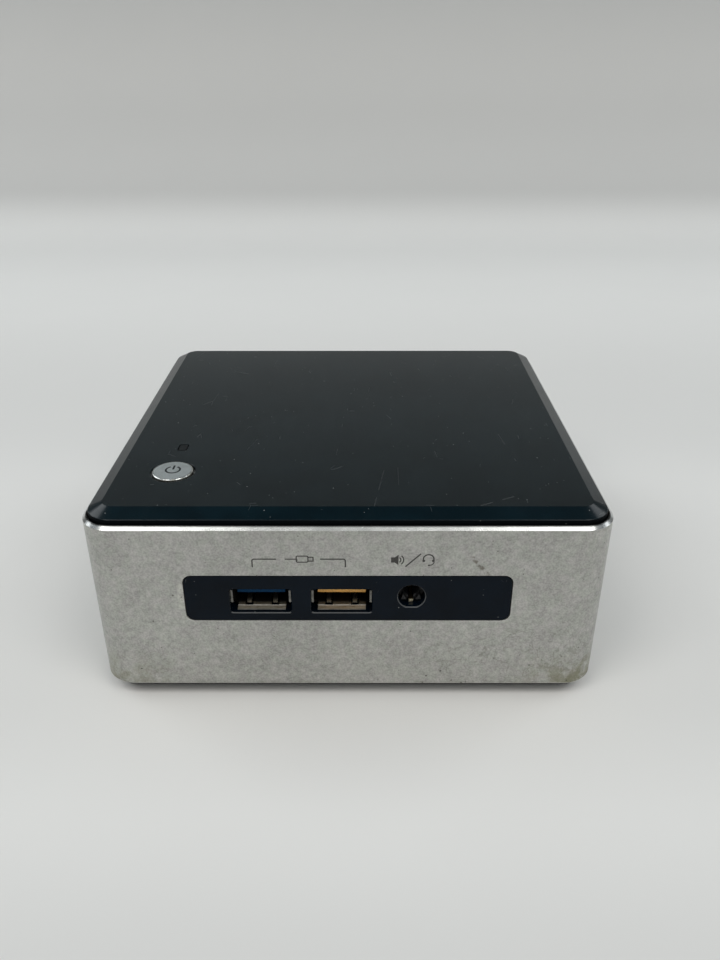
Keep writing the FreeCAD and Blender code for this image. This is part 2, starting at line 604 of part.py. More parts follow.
DP_SIZE, DP_Z = (8.4, 5.6), BOARD_Z0 - 3.2
HDMI_SIZE, HDMI_Z = (11.4, 3.5), BOARD_Z0 - 2.2
LAN_SIZE, LAN_Z = (16.0, 13.2), BOARD_Z0 - 6.7
STACK_SIZE, STACK_Z = (13.9, 15.2), BOARD_Z0 - 7.7
PORT_BACK_Y = REAR_Y - 20.0


def dc_inlet_body():
    case = box(DC_X - 4.6, DC_X + 4.6, REAR_Y - 14.5, REAR_Y - 3.6, DC_Z - 5.2, BOARD_Z0)
    barrel = rod("y", 3.95, DC_X, DC_Z, REAR_Y - 3.6, PORT_FACE_Y)
    bore = rod("y", DC_BORE_R, DC_X, DC_Z, REAR_Y - 11.0, REAR_Y + THROUGH)
    return less(joined([case, barrel]), [bore])


def dc_centre_pin():
    pin = rod("y", DC_PIN_R, DC_X, DC_Z, REAR_Y - 11.0, REAR_Y - 1.9)
    return pin.makeFillet(0.5, level_edges(pin, "y", REAR_Y - 1.9))


def dc_spring():
    """The sleeve contact, a leaf that lies along the barrel's lower wall."""
    z = DC_Z - DC_BORE_R + 0.02
    leaf = box(DC_X - 0.9, DC_X + 0.9, REAR_Y - 10.8, REAR_Y - 3.0, z + 0.25, z + 0.5)
    return leaf


def socket_shell(x, z, size, corner, sheet, depth):
    """A pressed sheet socket that opens to the rear."""
    outer = slab("y", size[0], size[1], corner, x, z, REAR_Y - depth, PORT_FACE_Y)
    inner = slab("y", size[0] - 2 * sheet, size[1] - 2 * sheet, max(corner - sheet, 0.1), x, z,
                 REAR_Y - depth + sheet, REAR_Y + THROUGH)
    return less(outer, [inner])


def small_tongue(x, z, w, t, depth, block_size):
    tongue_z = z + 0.2
    tongue = box(x - w / 2, x + w / 2, REAR_Y - depth + 0.6, REAR_Y - 1.6, tongue_z - t / 2, tongue_z + t / 2)
    root = slab("y", block_size[0], block_size[1], 0.3, x, z, REAR_Y - depth + 0.4, REAR_Y - 6.0)
    return joined([tongue, root])


def lan_shell():
    outer = slab("y", LAN_SIZE[0], LAN_SIZE[1], 0.4, LAN_X, LAN_Z, PORT_BACK_Y, PORT_FACE_Y)
    inner = slab("y", LAN_SIZE[0] - 0.6, LAN_SIZE[1] - 0.6, 0.2, LAN_X, LAN_Z,
                 PORT_BACK_Y + 0.3, REAR_Y + THROUGH)
    return less(outer, [inner])


LAN_MOUTH_W, LAN_MOUTH_H, LAN_MOUTH_DEPTH = 11.8, 7.0, 13.0
LAN_MOUTH_Z = LAN_Z - 1.2


def lan_insert():
    """The plastic inside of the network socket, with the mouth for the plug and the notch for its latch."""
    face = PORT_FACE_Y - 0.2
    body = box(LAN_X - 7.6, LAN_X + 7.6, PORT_BACK_Y + 0.4, face, LAN_Z - 6.2, LAN_Z + 6.2)
    y0 = face - LAN_MOUTH_DEPTH
    mouth = box(LAN_X - LAN_MOUTH_W / 2, LAN_X + LAN_MOUTH_W / 2, y0, face + THROUGH,
                LAN_MOUTH_Z - LAN_MOUTH_H / 2, LAN_MOUTH_Z + LAN_MOUTH_H / 2)
    latch_z = LAN_MOUTH_Z + LAN_MOUTH_H / 2
    latch = box(LAN_X - 3.1, LAN_X + 3.1, y0 + 6, face + THROUGH, latch_z - 0.1, latch_z + 1.7)
    lights = [box(LAN_X + k * 5.2 - 1.1, LAN_X + k * 5.2 + 1.1, face - 1.0, face + THROUGH,
                  LAN_Z + 3.9, LAN_Z + 5.6) for k in (-1, 1)]
    return less(body, [mouth, latch] + lights)


def lan_lights():
    face = PORT_FACE_Y - 0.2
    return group([box(LAN_X + k * 5.2 - 1.05, LAN_X + k * 5.2 + 1.05, face - 0.98, face,
                      LAN_Z + 3.95, LAN_Z + 5.55) for k in (-1, 1)])


def lan_contacts():
    """Eight bent wires along the mouth's lower side."""
    low = LAN_MOUTH_Z - LAN_MOUTH_H / 2
    face = PORT_FACE_Y - 0.2
    wires = []
    for i in range(8):
        x = LAN_X + (i - 3.5) * 1.02
        profile = [(face - 11.0, low + 0.05), (face - 3.6, low + 0.05), (face - 3.6, low + 0.35),
                   (face - 10.4, low + 1.5), (face - 11.0, low + 1.4)]
        wires.append(polygon("x", profile, x - 0.2, x + 0.2))
    return group(wires)


def stack_shell():
    """The double shell of the two rear USB sockets, one above the other."""
    outer = slab("y", STACK_SIZE[0], STACK_SIZE[1], 0.5, STACK_X, STACK_Z, PORT_BACK_Y, PORT_FACE_Y)
    tools = []
    for k in (-0.5, 0.5):
        z = STACK_Z + k * STACK_PITCH
        tools.append(slab("y", USB_W - 2 * USB_SHEET, USB_H - 2 * USB_SHEET, 0.2, STACK_X, z,
                          PORT_BACK_Y + 5.5, REAR_Y + THROUGH))
    return less(outer, tools)


def stack_tongues():
    return group([usb_tongue(STACK_X, STACK_Z + k * STACK_PITCH, PORT_FACE_Y, PORT_BACK_Y + 5.5 - USB_SHEET)
                  for k in (-0.5, 0.5)])


# ---------------------------------------------------------------- circuit board
def motherboard():
    board = slab("z", BOARD_SIZE, BOARD_SIZE, 1.0, 0, 0, BOARD_Z0, BOARD_Z1)
    holes = [rod("z", 1.7, x, y, BOARD_Z0 - THROUGH, BOARD_Z1 + THROUGH)
             for x, y in all_signs(POST_XY, POST_XY)]
    holes += [rod("z", 1.2, FAN_X + x, FAN_Y + y, BOARD_Z0 - THROUGH, BOARD_Z1 + THROUGH)
              for x, y in all_signs(22.0, 20.0)]
    legs = [box(JACK_X + k - 0.5, JACK_X + k + 0.5, y - 0.4, y + 0.4, BOARD_Z0 - THROUGH, BOARD_Z1 + THROUGH)
            for k, y in JACK_LEGS]
    return less(board, holes + legs)


def chips_above():
    """Small parts on the board's upper side: chokes, capacitors, controllers and the drive light."""
    parts = [block(6.6, 6.6, 2.4, 40.0, y, BOARD_Z1) for y in (2.0, 10.0, 18.0)]
    parts += [block(3.0, 4.6, 1.6, 33.5, y, BOARD_Z1) for y in (1.0, 7.0, 13.0, 19.0)]
    parts += [rod("z", 3.0, x, 38.0, BOARD_Z1, BOARD_Z1 + 1.5) for x in (-40.0, -33.0)]
    parts += [block(7.0, 7.0, 0.9, x, y, BOARD_Z1) for x, y in ((-42.0, 12.0), (-42.0, 24.0), (36.0, 34.0))]
    parts += [block(1.6, 0.8, 0.9, -44.0, y, BOARD_Z1) for y in (-8.0, -5.0, -2.0, 1.0, 4.0)]
    parts.append(block(1.6, 1.6, 0.7, LIGHT_X, LIGHT_Y, BOARD_Z1))
    parts.append(block(6.0, 3.4, 3.0, 25.0, -42.0, BOARD_Z1))
    parts.append(block(4.6, 3.4, 3.0, 40.0, -41.0, BOARD_Z1))
    return group(parts)


def chips_below():
    """Small parts on the board's underside."""
    def hang(w, d, h, x, y):
        return block(w, d, h, x, y, BOARD_Z0 - h)

    parts = [hang(6.0, 6.0, 0.9, x, y) for x, y in ((30.0, -30.0), (44.0, 4.0), (-45.0, 31.6))]
    parts += [hang(3.0, 1.6, 1.2, 28.0 + 4.2 * i, -38.0) for i in range(4)]
    parts += [hang(1.6, 0.9, 0.8, -40.0 + 6.0 * i, -2.0) for i in range(9)]
    parts += [hang(4.0, 4.0, 2.0, x, 37.5) for x in (-45.0, 45.0)]
    parts.append(hang(5.0, 4.0, 0.8, 46.0, -32.0))
    return group(parts)


CPU_X, CPU_Y = FAN_X, FAN_Y
BEND_X = CPU_X + 1.0


def cpu_package():
    return block(40.0, 24.0, 1.1, CPU_X, CPU_Y, BOARD_Z1)


def cpu_dies():
    z = BOARD_Z1 + 1.1
    return group([block(13.7, 9.8, 0.38, CPU_X - 5.5, CPU_Y, z),
                  block(6.6, 9.2, 0.38, CPU_X + 10.5, CPU_Y, z)])


PLATE_Z0, PLATE_T = BOARD_Z1 + 1.5, 1.35
PIPE_T = 1.8


def heatsink_plate():
    """The plate on the processor, with four sprung arms to the board."""
    plate = slab("z", 46.0, 30.0, 2.0, CPU_X, CPU_Y, PLATE_Z0, PLATE_Z0 + PLATE_T)
    arms = [box(*sorted((FAN_X + x, FAN_X + x * 0.55)), *sorted((FAN_Y + y - 2.5, FAN_Y + y + 2.5)),
                PLATE_Z0, PLATE_Z0 + 0.8) for x, y in all_signs(22.0, 20.0)]
    ties = [box(*sorted((FAN_X + x * 0.55, FAN_X + x * 0.8)), *sorted((FAN_Y + y * 0.6, FAN_Y + y)),
                PLATE_Z0, PLATE_Z0 + 0.8) for x, y in all_signs(22.0, 20.0)]
    eyes = [rod("z", 3.2, FAN_X + x, FAN_Y + y, PLATE_Z0, PLATE_Z0 + 0.8) for x, y in all_signs(22.0, 20.0)]
    body = joined([plate] + arms + ties + eyes)
    return less(body, [rod("z", 1.2, FAN_X + x, FAN_Y + y, PLATE_Z0 - 1, PLATE_Z0 + 2)
                       for x, y in all_signs(22.0, 20.0)])


def heatsink_screws():
    return group([screw(FAN_X + x, FAN_Y + y, PLATE_Z0 + 0.8, BOARD_Z0 - 0.6, 1.0, 2.2, 1.3)
                  for x, y in all_signs(22.0, 20.0)])


FIN_X0, FIN_X1, FIN_Y0, FIN_Y1 = -29.0, 25.0, 27.0, 43.0
FIN_Z0 = PLATE_Z0 + PLATE_T + PIPE_T


def heat_pipe():
    """A flattened pipe from the middle of the plate to under the fins."""
    z = PLATE_Z0 + PLATE_T
    half = 4.0
    bend_r = 11.0
    bend_y = CPU_Y + bend_r
    leg_x = BEND_X + bend_r
    straight = box(CPU_X - 18, BEND_X, CPU_Y - half, CPU_Y + half, z, z + PIPE_T)
    bend = ring("z", bend_r + half, bend_r - half, BEND_X, bend_y, z, z + PIPE_T)
    bend = bend.common(box(BEND_X, BEND_X + 20, bend_y - 20, bend_y, z, z + PIPE_T))
    rise = box(leg_x - half, leg_x + half, bend_y, FIN_Y0 + 6.0, z, z + PIPE_T)
    along = box(FIN_X0 + 1, leg_x + half, FIN_Y0 + 3.0, FIN_Y0 + 11.0, z, z + PIPE_T)
    return joined([straight, bend, rise, along])


def heatsink_fins():
    """Upright fins on a thin foot, behind the blower's outlet."""
    foot = box(FIN_X0, FIN_X1, FIN_Y0, FIN_Y1, FIN_Z0, FIN_Z0 + 0.5)
    pitch = 1.8
    count = int((FIN_X1 - FIN_X0 - 0.4) / pitch) + 1
    fins = [box(FIN_X0 + i * pitch, FIN_X0 + i * pitch + 0.4, FIN_Y0, FIN_Y1, FIN_Z0 + 0.4, FAN_Z1)
            for i in range(count)]
    return joined([foot] + fins)


# ---------------------------------------------------------------- blower
HOUSING_X, HOUSING_Y0, HOUSING_Y1 = 29.0, FAN_Y - 28.0, 26.6


def blower_housing():
    """A flat box with a round chamber that opens to the fins, an air inlet above and a motor seat below."""
    depth = HOUSING_Y1 - HOUSING_Y0
    middle = (HOUSING_Y0 + HOUSING_Y1) / 2
    body = slab("z", 2 * HOUSING_X, depth, 6.0, FAN_X, middle, FAN_Z0, FAN_Z1)
    low, high = FAN_Z0 + FAN_SHEET, FAN_Z1 - FAN_SHEET
    chamber = rod("z", FAN_CAVITY_R, FAN_X, FAN_Y, low, high)
    outlet = box(FAN_X - FAN_CAVITY_R, FAN_X + HOUSING_X - 1.0, FAN_Y, HOUSING_Y1 + THROUGH, low, high)
    scroll = polygon("z", [(FAN_X + FAN_CAVITY_R - 2, FAN_Y - 14), (FAN_X + HOUSING_X - 1, FAN_Y - 6),
                           (FAN_X + HOUSING_X - 1, FAN_Y + 1), (FAN_X + FAN_CAVITY_R - 6, FAN_Y + 1)], low, high)
    inlet = rod("z", 18.5, FAN_X, FAN_Y, high - THROUGH, FAN_Z1 + THROUGH)
    body = less(body, [chamber, outlet, scroll, inlet])
    window = ring("z", 17.5, 10.5, FAN_X, FAN_Y, FAN_Z0 - THROUGH, low + 0.1)
    spokes = [block(40, 3.0, 4, FAN_X, FAN_Y, FAN_Z0 - 2)]
    spokes.append(block(3.0, 40, 4, FAN_X, FAN_Y, FAN_Z0 - 2))
    body = less(body, [less(window, spokes)])
    seat = rod("z", BUSH_R, FAN_X, FAN_Y, FAN_Z0 - THROUGH, low + THROUGH)
    return less(body, [seat])


def fan_bush():
    return ring("z", BUSH_R, SHAFT_R + 0.04, FAN_X, FAN_Y, FAN_Z0, FAN_Z0 + 3.4)


def fan_stator():
    """The wound core that stands round the bush under the hub."""
    low = FAN_Z0 + FAN_SHEET
    core = ring("z", 3.4, BUSH_R + 0.02, FAN_X, FAN_Y, low, low + 2.6)
    arms = []
    for i in range(6):
        arm = block(4.2, 1.3, 1.2, 4.6, 0, low + 0.7)
        shoe = block(0.7, 3.6, 1.8, 6.5, 0, low + 0.4)
        piece = joined([arm, shoe])
        piece.rotate(Vector(0, 0, 0), Vector(0, 0, 1), 60 * i)
        piece.translate(Vector(FAN_X, FAN_Y, 0))
        arms.append(piece)
    return joined([core] + arms)


def fan_impeller():
    """A cup hub with swept blades and a shaft that turns in the bush."""
    low, high = FAN_Z0 + FAN_SHEET + 0.5, FAN_Z1 - FAN_SHEET - 0.6
    hub = rod("z", HUB_R, FAN_X, FAN_Y, low, high)
    hub = hub.makeFillet(0.6, level_edges(hub, "z", high))
    well = rod("z", HUB_R - 1.0, FAN_X, FAN_Y, low - THROUGH, high - 1.2)
    shaft = rod("z", SHAFT_R, FAN_X, FAN_Y, FAN_Z0 + 0.3, high - 0.6)
    web = ring("z", 12.5, HUB_R - 0.4, FAN_X, FAN_Y, low + 1.6, low + 2.4)
    rim = ring("z", IMPELLER_R, IMPELLER_R - 0.9, FAN_X, FAN_Y, high - 1.0, high)
    blades = []
    for i in range(BLADES):
        sweep_r = 13.0
        arc = ring("z", sweep_r + 0.35, sweep_r - 0.35, IMPELLER_R - 3.0, sweep_r - 1.0,
                   low + 0.2, high - 0.2)
        keep = ring("z", IMPELLER_R - 0.2, 11.6, 0, 0, low, high)
        blade = arc.common(keep).common(box(8, IMPELLER_R + 1, -9, 6.5, low, high))
        blade.rotate(Vector(0, 0, 0), Vector(0, 0, 1), 360.0 * i / BLADES)
        blade.translate(Vector(FAN_X, FAN_Y, 0))
        blades.append(blade)
    return joined([less(hub, [well]), shaft, web, rim] + blades)


# ---------------------------------------------------------------- memory, storage and radio
MEM_X0, MEM_W, MEM_L = -47.0, 67.6, 30.0
MEM_SOCKET_Y = -34.6
MEM_LEVELS = (BOARD_Z0 - 4.0, BOARD_Z0 - 8.0)  # middle of each module's board


def memory_socket(level):
    """One socket: a slotted bar along the module's edge with two latch arms."""
    x0, x1 = MEM_X0 - 1.6, MEM_X0 + MEM_W + 1.6
    top = BOARD_Z0 if level == MEM_LEVELS[0] else MEM_LEVELS[0] - 2.0
    bar = box(x0, x1, MEM_SOCKET_Y - 2.6, MEM_SOCKET_Y + 2.4, level - 1.4, top)
    slot = box(MEM_X0 - 0.1, MEM_X0 + MEM_W + 0.1, MEM_SOCKET_Y, MEM_SOCKET_Y + 4, level - 0.55, level + 0.55)
    arms = []
    for x in (x0, x1 - 1.3):
        arms.append(box(x, x + 1.3, MEM_SOCKET_Y + 2.3, MEM_SOCKET_Y + 22.0, level - 1.0, level + 1.0))
    return less(joined([bar] + arms), [slot])


def memory_module(level):
    """A notebook memory module with eight chips, four on each side."""
    y0 = MEM_SOCKET_Y + 0.1
    board = box(MEM_X0, MEM_X0 + MEM_W, y0, y0 + MEM_L, level - 0.5, level + 0.5)
    notches = [rod("z", 0.9, x, y0 + 20.0, level - 1, level + 1) for x in (MEM_X0, MEM_X0 + MEM_W)]
    board = less(board, notches)
    chips = []
    for i in range(4):
        cx = MEM_X0 + 9.0 + i * 16.6
        for k in (-1, 1):
            z = level + 0.5 if k > 0 else level - 0.5 - 1.0
            chips.append(block(13.0, 9.0, 1.0, cx, y0 + 14.0, z))
    return joined([board] + chips)


M2_X0, M2_X1, M2_Y, M2_Z = -46.0, 34.0, 15.0, BOARD_Z0 - 4.4


def m2_socket():
    body = box(M2_X0 - 3.4, M2_X0 + 5.0, M2_Y - 11.0, M2_Y + 11.0, M2_Z - 1.0, BOARD_Z0)
    slot = box(M2_X0, M2_X0 + 6.0, M2_Y - 11.2, M2_Y + 11.2, M2_Z - 0.45, M2_Z + 0.45)
    return less(body, [slot])


def m2_drive():
    board = box(M2_X0 + 0.05, M2_X1, M2_Y - 11.0, M2_Y + 11.0, M2_Z - 0.4, M2_Z + 0.4)
    notch = rod("z", 1.75, M2_X1, M2_Y, M2_Z - 1, M2_Z + 1)
    chips = [block(18.0, 14.0, 1.0, x, M2_Y, M2_Z - 1.4) for x in (-8.0, 13.0)]
    chips.append(block(11.0, 11.0, 1.0, -28.0, M2_Y, M2_Z - 1.4))
    return joined([less(board, [notch])] + chips)


def m2_screw():
    post = ring("z", 2.6, 1.0, M2_X1, M2_Y, M2_Z + 0.4, BOARD_Z0)
    bolt = screw(M2_X1, M2_Y, M2_Z - 0.42, BOARD_Z0 - 0.8, 0.95, 2.6, 0.8)
    return group([post, bolt])


WIFI_X, WIFI_Y = -12.0, 15.0


def radio_module():
    """The soldered wireless module under its screening can, with two aerial sockets."""
    board = block(16.0, 12.0, 0.8, WIFI_X, WIFI_Y, BOARD_Z0 - 0.8)
    can = block(12.5, 11.0, 1.2, WIFI_X - 1.2, WIFI_Y, BOARD_Z0 - 2.0)
    sockets = [rod("z", 1.0, WIFI_X + 6.6, WIFI_Y + k * 3.0, BOARD_Z0 - 1.5, BOARD_Z0 - 0.8) for k in (-1, 1)]
    return joined([board, can] + sockets)


AERIAL_X, AERIAL_Y, AERIAL_L = 48.6, 4.0, 36.0


def aerial(side):
    """A printed strip aerial stuck under the lid."""
    under = LID_Z1 - LID_PLATE
    return slab("z", 7.0, AERIAL_L, 0.8, side * AERIAL_X, AERIAL_Y, under - 0.7, under)


def aerial_leads():
    """Coaxial leads from each aerial, down beside the board and in to the radio module."""
    r = 0.55
    under = LID_Z1 - LID_PLATE - 0.7
    left = [(-46.5, 20.0, under - r), (-48.4, 23.6, under - r - 0.2), (-49.9, 26.0, 42.4), (-52.2, 27.0, 38.4),
            (-53.1, 27.6, 33.6), (-51.6, 28.0, 29.4), (-46.0, 28.2, 28.7), (-36.0, 28.4, 29.1),
            (-24.0, 28.0, 29.2), (-13.0, 26.8, 29.3), (-6.4, 23.6, 29.4), (-5.4, 19.02, 29.45)]
    right = [(46.5, 20.0, under - r), (48.4, 23.6, under - r - 0.2), (49.9, 26.0, 42.4), (52.2, 27.0, 38.4),
             (53.1, 27.6, 33.6), (51.6, 28.2, 28.6), (46.0, 29.2, 26.6), (34.0, 30.4, 27.2), (20.0, 30.2, 28.4),
             (8.6, 28.4, 28.8), (1.6, 22.6, 28.9), (0.4, 15.4, 29.1), (-1.4, 12.2, 29.4), (-4.38, 12.0, 29.45)]
    return group([tube(left, r), tube(right, r)])


BATTERY_X, BATTERY_Y, BATTERY_R = 40.0, -22.0, 10.2


def clock_battery():
    cell = rod("z", BATTERY_R, BATTERY_X, BATTERY_Y, BOARD_Z1 + 0.3, BOARD_Z1 + 3.7)
    rims = level_edges(cell, "z", BOARD_Z1 + 3.7) + level_edges(cell, "z", BOARD_Z1 + 0.3)
    return cell.makeFillet(0.4, rims)


def battery_lead():
    z = BOARD_Z1 + 1.8
    route = [(BATTERY_X - 2.0, BATTERY_Y - BATTERY_R + 0.05, z), (BATTERY_X - 2.2, -34.2, z + 0.4),
             (BATTERY_X, -36.4, z - 0.2), (BATTERY_X, -39.28, z - 0.2)]
    return tube(route, 0.5)


def blower_lead():
    z = FAN_Z0 + 2.0
    route = [(13.4, HOUSING_Y0 - 0.02, z), (13.4, HOUSING_Y0 - 3.6, z), (16.4, -41.4, z - 3.0),
             (18.4, -41.9, BOARD_Z1 + 1.7), (21.98, -41.9, BOARD_Z1 + 1.7)]
    return tube(route, 0.8)


# ---------------------------------------------------------------- drive cable
CABLE_X, CABLE_Y0, CABLE_Y1 = 43.0, -27.0, -11.0
HEADER_H, PLUG_H, CABLE_T = 3.4, 3.2, 0.9
CABLE_TOP_Z = BOARD_Z0 - HEADER_H - PLUG_H
BACKPLANE_X, BACKPLANE_TOP_Z = 50.4, 13.2


def cable_header():
    body = box(CABLE_X - 2.6, CABLE_X + 2.6, CABLE_Y0 - 1.5, CABLE_Y1 + 1.5, BOARD_Z0 - HEADER_H, BOARD_Z0)
    return body


def cable_plug():
    body = box(CABLE_X - 2.2, CABLE_X + 2.2, CABLE_Y0 - 0.8, CABLE_Y1 + 0.8, CABLE_TOP_Z, BOARD_Z0 - HEADER_H)
    return body.makeChamfer(0.5, level_edges(body, "z", CABLE_TOP_Z))


def drive_cable():
    """A flat cable with enough slack, in two folds, to let the base cover come off with the drive."""
    small, wide = 1.9, 1.75
    drop = BACKPLANE_X - CABLE_X
    back_run = 13.0
    first_drop = CABLE_TOP_Z - BACKPLANE_TOP_Z - 2 * small - 2 * wide
    steps = [("run", first_drop * 0.5), ("turn", small, -90), ("run", back_run), ("turn", wide, 180),
             ("run", back_run + drop), ("turn", small, -90), ("run", first_drop * 0.5)]
    return sheet_path("y", (CABLE_X, CABLE_TOP_Z), -90, steps, CABLE_T, CABLE_Y0, CABLE_Y1)


# ---------------------------------------------------------------- base cover, feet and drive
def cover_standoffs():
    """Hexagonal pillars that clamp the board to the case posts and take the captive screws."""
    pillars = []
    for x, y in all_signs(POST_XY, POST_XY):
        corners = [(x + 3.0 * math.cos(math.radians(60 * i)), y + 3.0 * math.sin(math.radians(60 * i)))
                   for i in range(6)]
        pillar = polygon("z", corners, STANDOFF_Z0, BOARD_Z0)
        stud = rod("z", 1.25, x, y, BOARD_Z0, BOARD_Z1 + 6.0)
        pillars.append(less(joined([pillar, stud]), [rod("z", SCREW_R + 0.05, x, y, STANDOFF_Z0 - 1, 15.0)]))
    return group(pillars)


COVER_VENT_COLS, COVER_VENT_ROW_Y, COVER_VENT_PITCH = 9, 17.0, 7.0
COVER_INSET = 1.0  # the cover's side stands this far in from the case's
COVER_BEVEL_W, COVER_BEVEL_H = 1.0, 1.4


def base_cover():
    bevel_z = COVER_Z0 + COVER_BEVEL_H
    low = case_outline(COVER_INSET + COVER_BEVEL_W, COVER_Z0)
    bevel = Part.makeLoft([low, case_outline(COVER_INSET, bevel_z)], True, True)
    plate = joined([case_slab(COVER_INSET, bevel_z, SHELL_Z0), bevel])
    lip_out, lip_t, lip_top = WALL + 0.2, 1.4, SHELL_Z0 + 2.2
    lip = case_slab(lip_out, SHELL_Z0 - 0.5, lip_top)
    lip = less(lip, [case_slab(lip_out + lip_t, SHELL_Z0 - 1, lip_top + 1)])
    bosses = [rod("z", 4.6, x, y, SHELL_Z0 - 0.5, STANDOFF_Z0 - 0.1) for x, y in all_signs(POST_XY, POST_XY)]
    bosses += [rod("z", 3.0, 0, k * MOUNT_SCREW_Y, SHELL_Z0 - 0.5, SHELL_Z0 + 2.6) for k in (-1, 1)]
    bosses += [rod("z", 2.6, x, y, SHELL_Z0 - 0.5, BRACKET_Z0) for x, y in all_signs(44.0, 30.0)]
    body = joined([plate, lip] + bosses)
    tools = []
    for x, y in all_signs(POST_XY, POST_XY):
        tools.append(rod("z", SCREW_R + 0.15, x, y, COVER_Z0 - 1, STANDOFF_Z0 + 1))
        tools.append(rod("z", 3.1, x, y, COVER_Z0 - 1, 4.25))
        tools.append(rod("z", FOOT_R + 0.1, x, y, COVER_Z0 - 1, COVER_Z0 + FOOT_POCKET))
    tools += [rod("z", MOUNT_HOLE_R, 0, k * MOUNT_SCREW_Y, COVER_Z0 - 1, SHELL_Z0 + 4) for k in (-1, 1)]
    tools += [rod("z", 0.9, x, y, SHELL_Z0 - 1.2, BRACKET_Z0 + 1) for x, y in all_signs(44.0, 30.0)]
    for row in (-1, 1):
        for i in range(COVER_VENT_COLS):
            x = (i - (COVER_VENT_COLS - 1) / 2) * COVER_VENT_PITCH
            tools.append(slab("z", 2.2, 20.0, 1.05, x, row * COVER_VENT_ROW_Y, COVER_Z0 - 1, SHELL_Z0 + 1))
    return less(body, tools)


def rubber_feet():
    feet = []
    for x, y in all_signs(POST_XY, POST_XY):
        foot = ring("z", FOOT_R, FOOT_HOLE_R, x, y, 0, COVER_Z0 + FOOT_POCKET)
        edges = [e for e in level_edges(foot, "z", 0) if abs(e.BoundBox.XLength - 2 * FOOT_R) < 0.1]
        feet.append(foot.makeFillet(0.5, edges))
    return group(feet)


def captive_screws():
    return group([screw(x, y, 4.25, 13.5, SCREW_R, 2.8, 1.9) for x, y in all_signs(POST_XY, POST_XY)])


def drive_bracket():
    """A bent steel tray: a floor with two windows, and two upright sides with the drive screwed between."""
    z1 = BRACKET_Z0 + BRACKET_T
    wall_top = DRIVE_Z0 + DRIVE_H - 0.4
    x0, x1 = -53.7, 53.7
    floor = box(x0, x1, -BRACKET_WALL_Y - BRACKET_T, BRACKET_WALL_Y + BRACKET_T, BRACKET_Z0, z1)
    walls = [box(x0 + 3, x1 - 12, *sorted((k * BRACKET_WALL_Y, k * (BRACKET_WALL_Y + BRACKET_T))),
                 BRACKET_Z0, wall_top)
             for k in (-1, 1)]
    stop = box(x0, x0 + BRACKET_T, -20, 20, BRACKET_Z0, wall_top)
    body = joined([floor, stop] + walls)
    windows = [slab("z", 34.0, 44.0, 3.0, k * 19.0, 0, BRACKET_Z0 - 1, z1 + 1) for k in (-1, 1)]
    holes = [rod("z", 1.1, x, y, BRACKET_Z0 - 1, z1 + 1) for x, y in all_signs(44.0, 30.0)]
    for from_end in DRIVE_SCREW_X:
        x = DRIVE_X0 + DRIVE_L - from_end
        z = DRIVE_Z0 + DRIVE_SCREW_Z
        holes.append(rod("y", 1.6, x, z, -BRACKET_WALL_Y - 3, -BRACKET_WALL_Y + 1))
        holes.append(rod("y", 1.6, x, z, BRACKET_WALL_Y - 1, BRACKET_WALL_Y + 3))
    return less(body, windows + holes)


def bracket_screws():
    z = BRACKET_Z0 + BRACKET_T
    return group([screw(x, y, z, SHELL_Z0 - 0.9, 0.88, 1.9, 0.6) for x, y in all_signs(44.0, 30.0)])


def drive_case():
    """A 7 mm solid-state drive: a flat metal box with a shallow lid step and four threaded side holes."""
    x1 = DRIVE_X0 + DRIVE_L
    body = slab("z", DRIVE_L, DRIVE_W, 2.0, DRIVE_X0 + DRIVE_L / 2, 0, DRIVE_Z0, DRIVE_Z0 + DRIVE_H)
    body = body.makeChamfer(0.3, level_edges(body, "z", DRIVE_Z0 + DRIVE_H))
    mouth = box(x1 - 5.0, x1 + 1, -19.0, 19.0, DRIVE_Z0 + 0.8, DRIVE_Z0 + 5.6)
    panel = slab("z", DRIVE_L - 14, DRIVE_W - 8, 2.0, DRIVE_X0 + DRIVE_L / 2 - 2, 0, DRIVE_Z0 + DRIVE_H - 0.15,
                 DRIVE_Z0 + DRIVE_H + 1)
    holes = []
    for from_end in DRIVE_SCREW_X:
        x = x1 - from_end
        z = DRIVE_Z0 + DRIVE_SCREW_Z
        holes.append(rod("y", 1.45, x, z, -DRIVE_W / 2 - 1, -DRIVE_W / 2 + 3.5))
        holes.append(rod("y", 1.45, x, z, DRIVE_W / 2 - 3.5, DRIVE_W / 2 + 1))
    return less(body, [mouth, panel] + holes)


def drive_screws():
    screws = []
    for from_end in DRIVE_SCREW_X:
        x = DRIVE_X0 + DRIVE_L - from_end
        z = DRIVE_Z0 + DRIVE_SCREW_Z
        for k in (-1, 1):
            seat = BRACKET_WALL_Y + BRACKET_T
            bolt = screw(0, 0, 0, -3.8, 1.4, 2.5, 1.1)
            bolt.rotate(Vector(0, 0, 0), Vector(1, 0, 0), -90 * k)
            bolt.translate(Vector(x, k * seat, z))
            screws.append(bolt)
    return group(screws)


def backplane():
    """The small upright board that joins the drive's connector to the flat cable."""
    x = BACKPLANE_X
    board = box(x - 3.0, x - 2.2, -30.0, 22.0, BRACKET_Z0 + BRACKET_T, BACKPLANE_TOP_Z - 0.6)
    return board


def drive_socket():
    """The plastic socket between the upright board and the drive."""
    x1 = DRIVE_X0 + DRIVE_L
    plug = box(x1 - 4.6, x1 + 0.02, -18.6, 18.6, DRIVE_Z0 + 1.2, DRIVE_Z0 + 5.2)
    body = box(x1 + 0.02, BACKPLANE_X - 3.0, -20.5, 20.5, DRIVE_Z0 + 0.4, DRIVE_Z0 + 6.2)
    return joined([plug, body])


def backplane_socket():
    """The socket that holds the flat cable's lower end."""
    return box(BACKPLANE_X - 2.2, BACKPLANE_X + 2.2, CABLE_Y0 - 1.0, CABLE_Y1 + 1.0, BRACKET_Z0 + BRACKET_T + 1.0,
               BACKPLANE_TOP_Z)


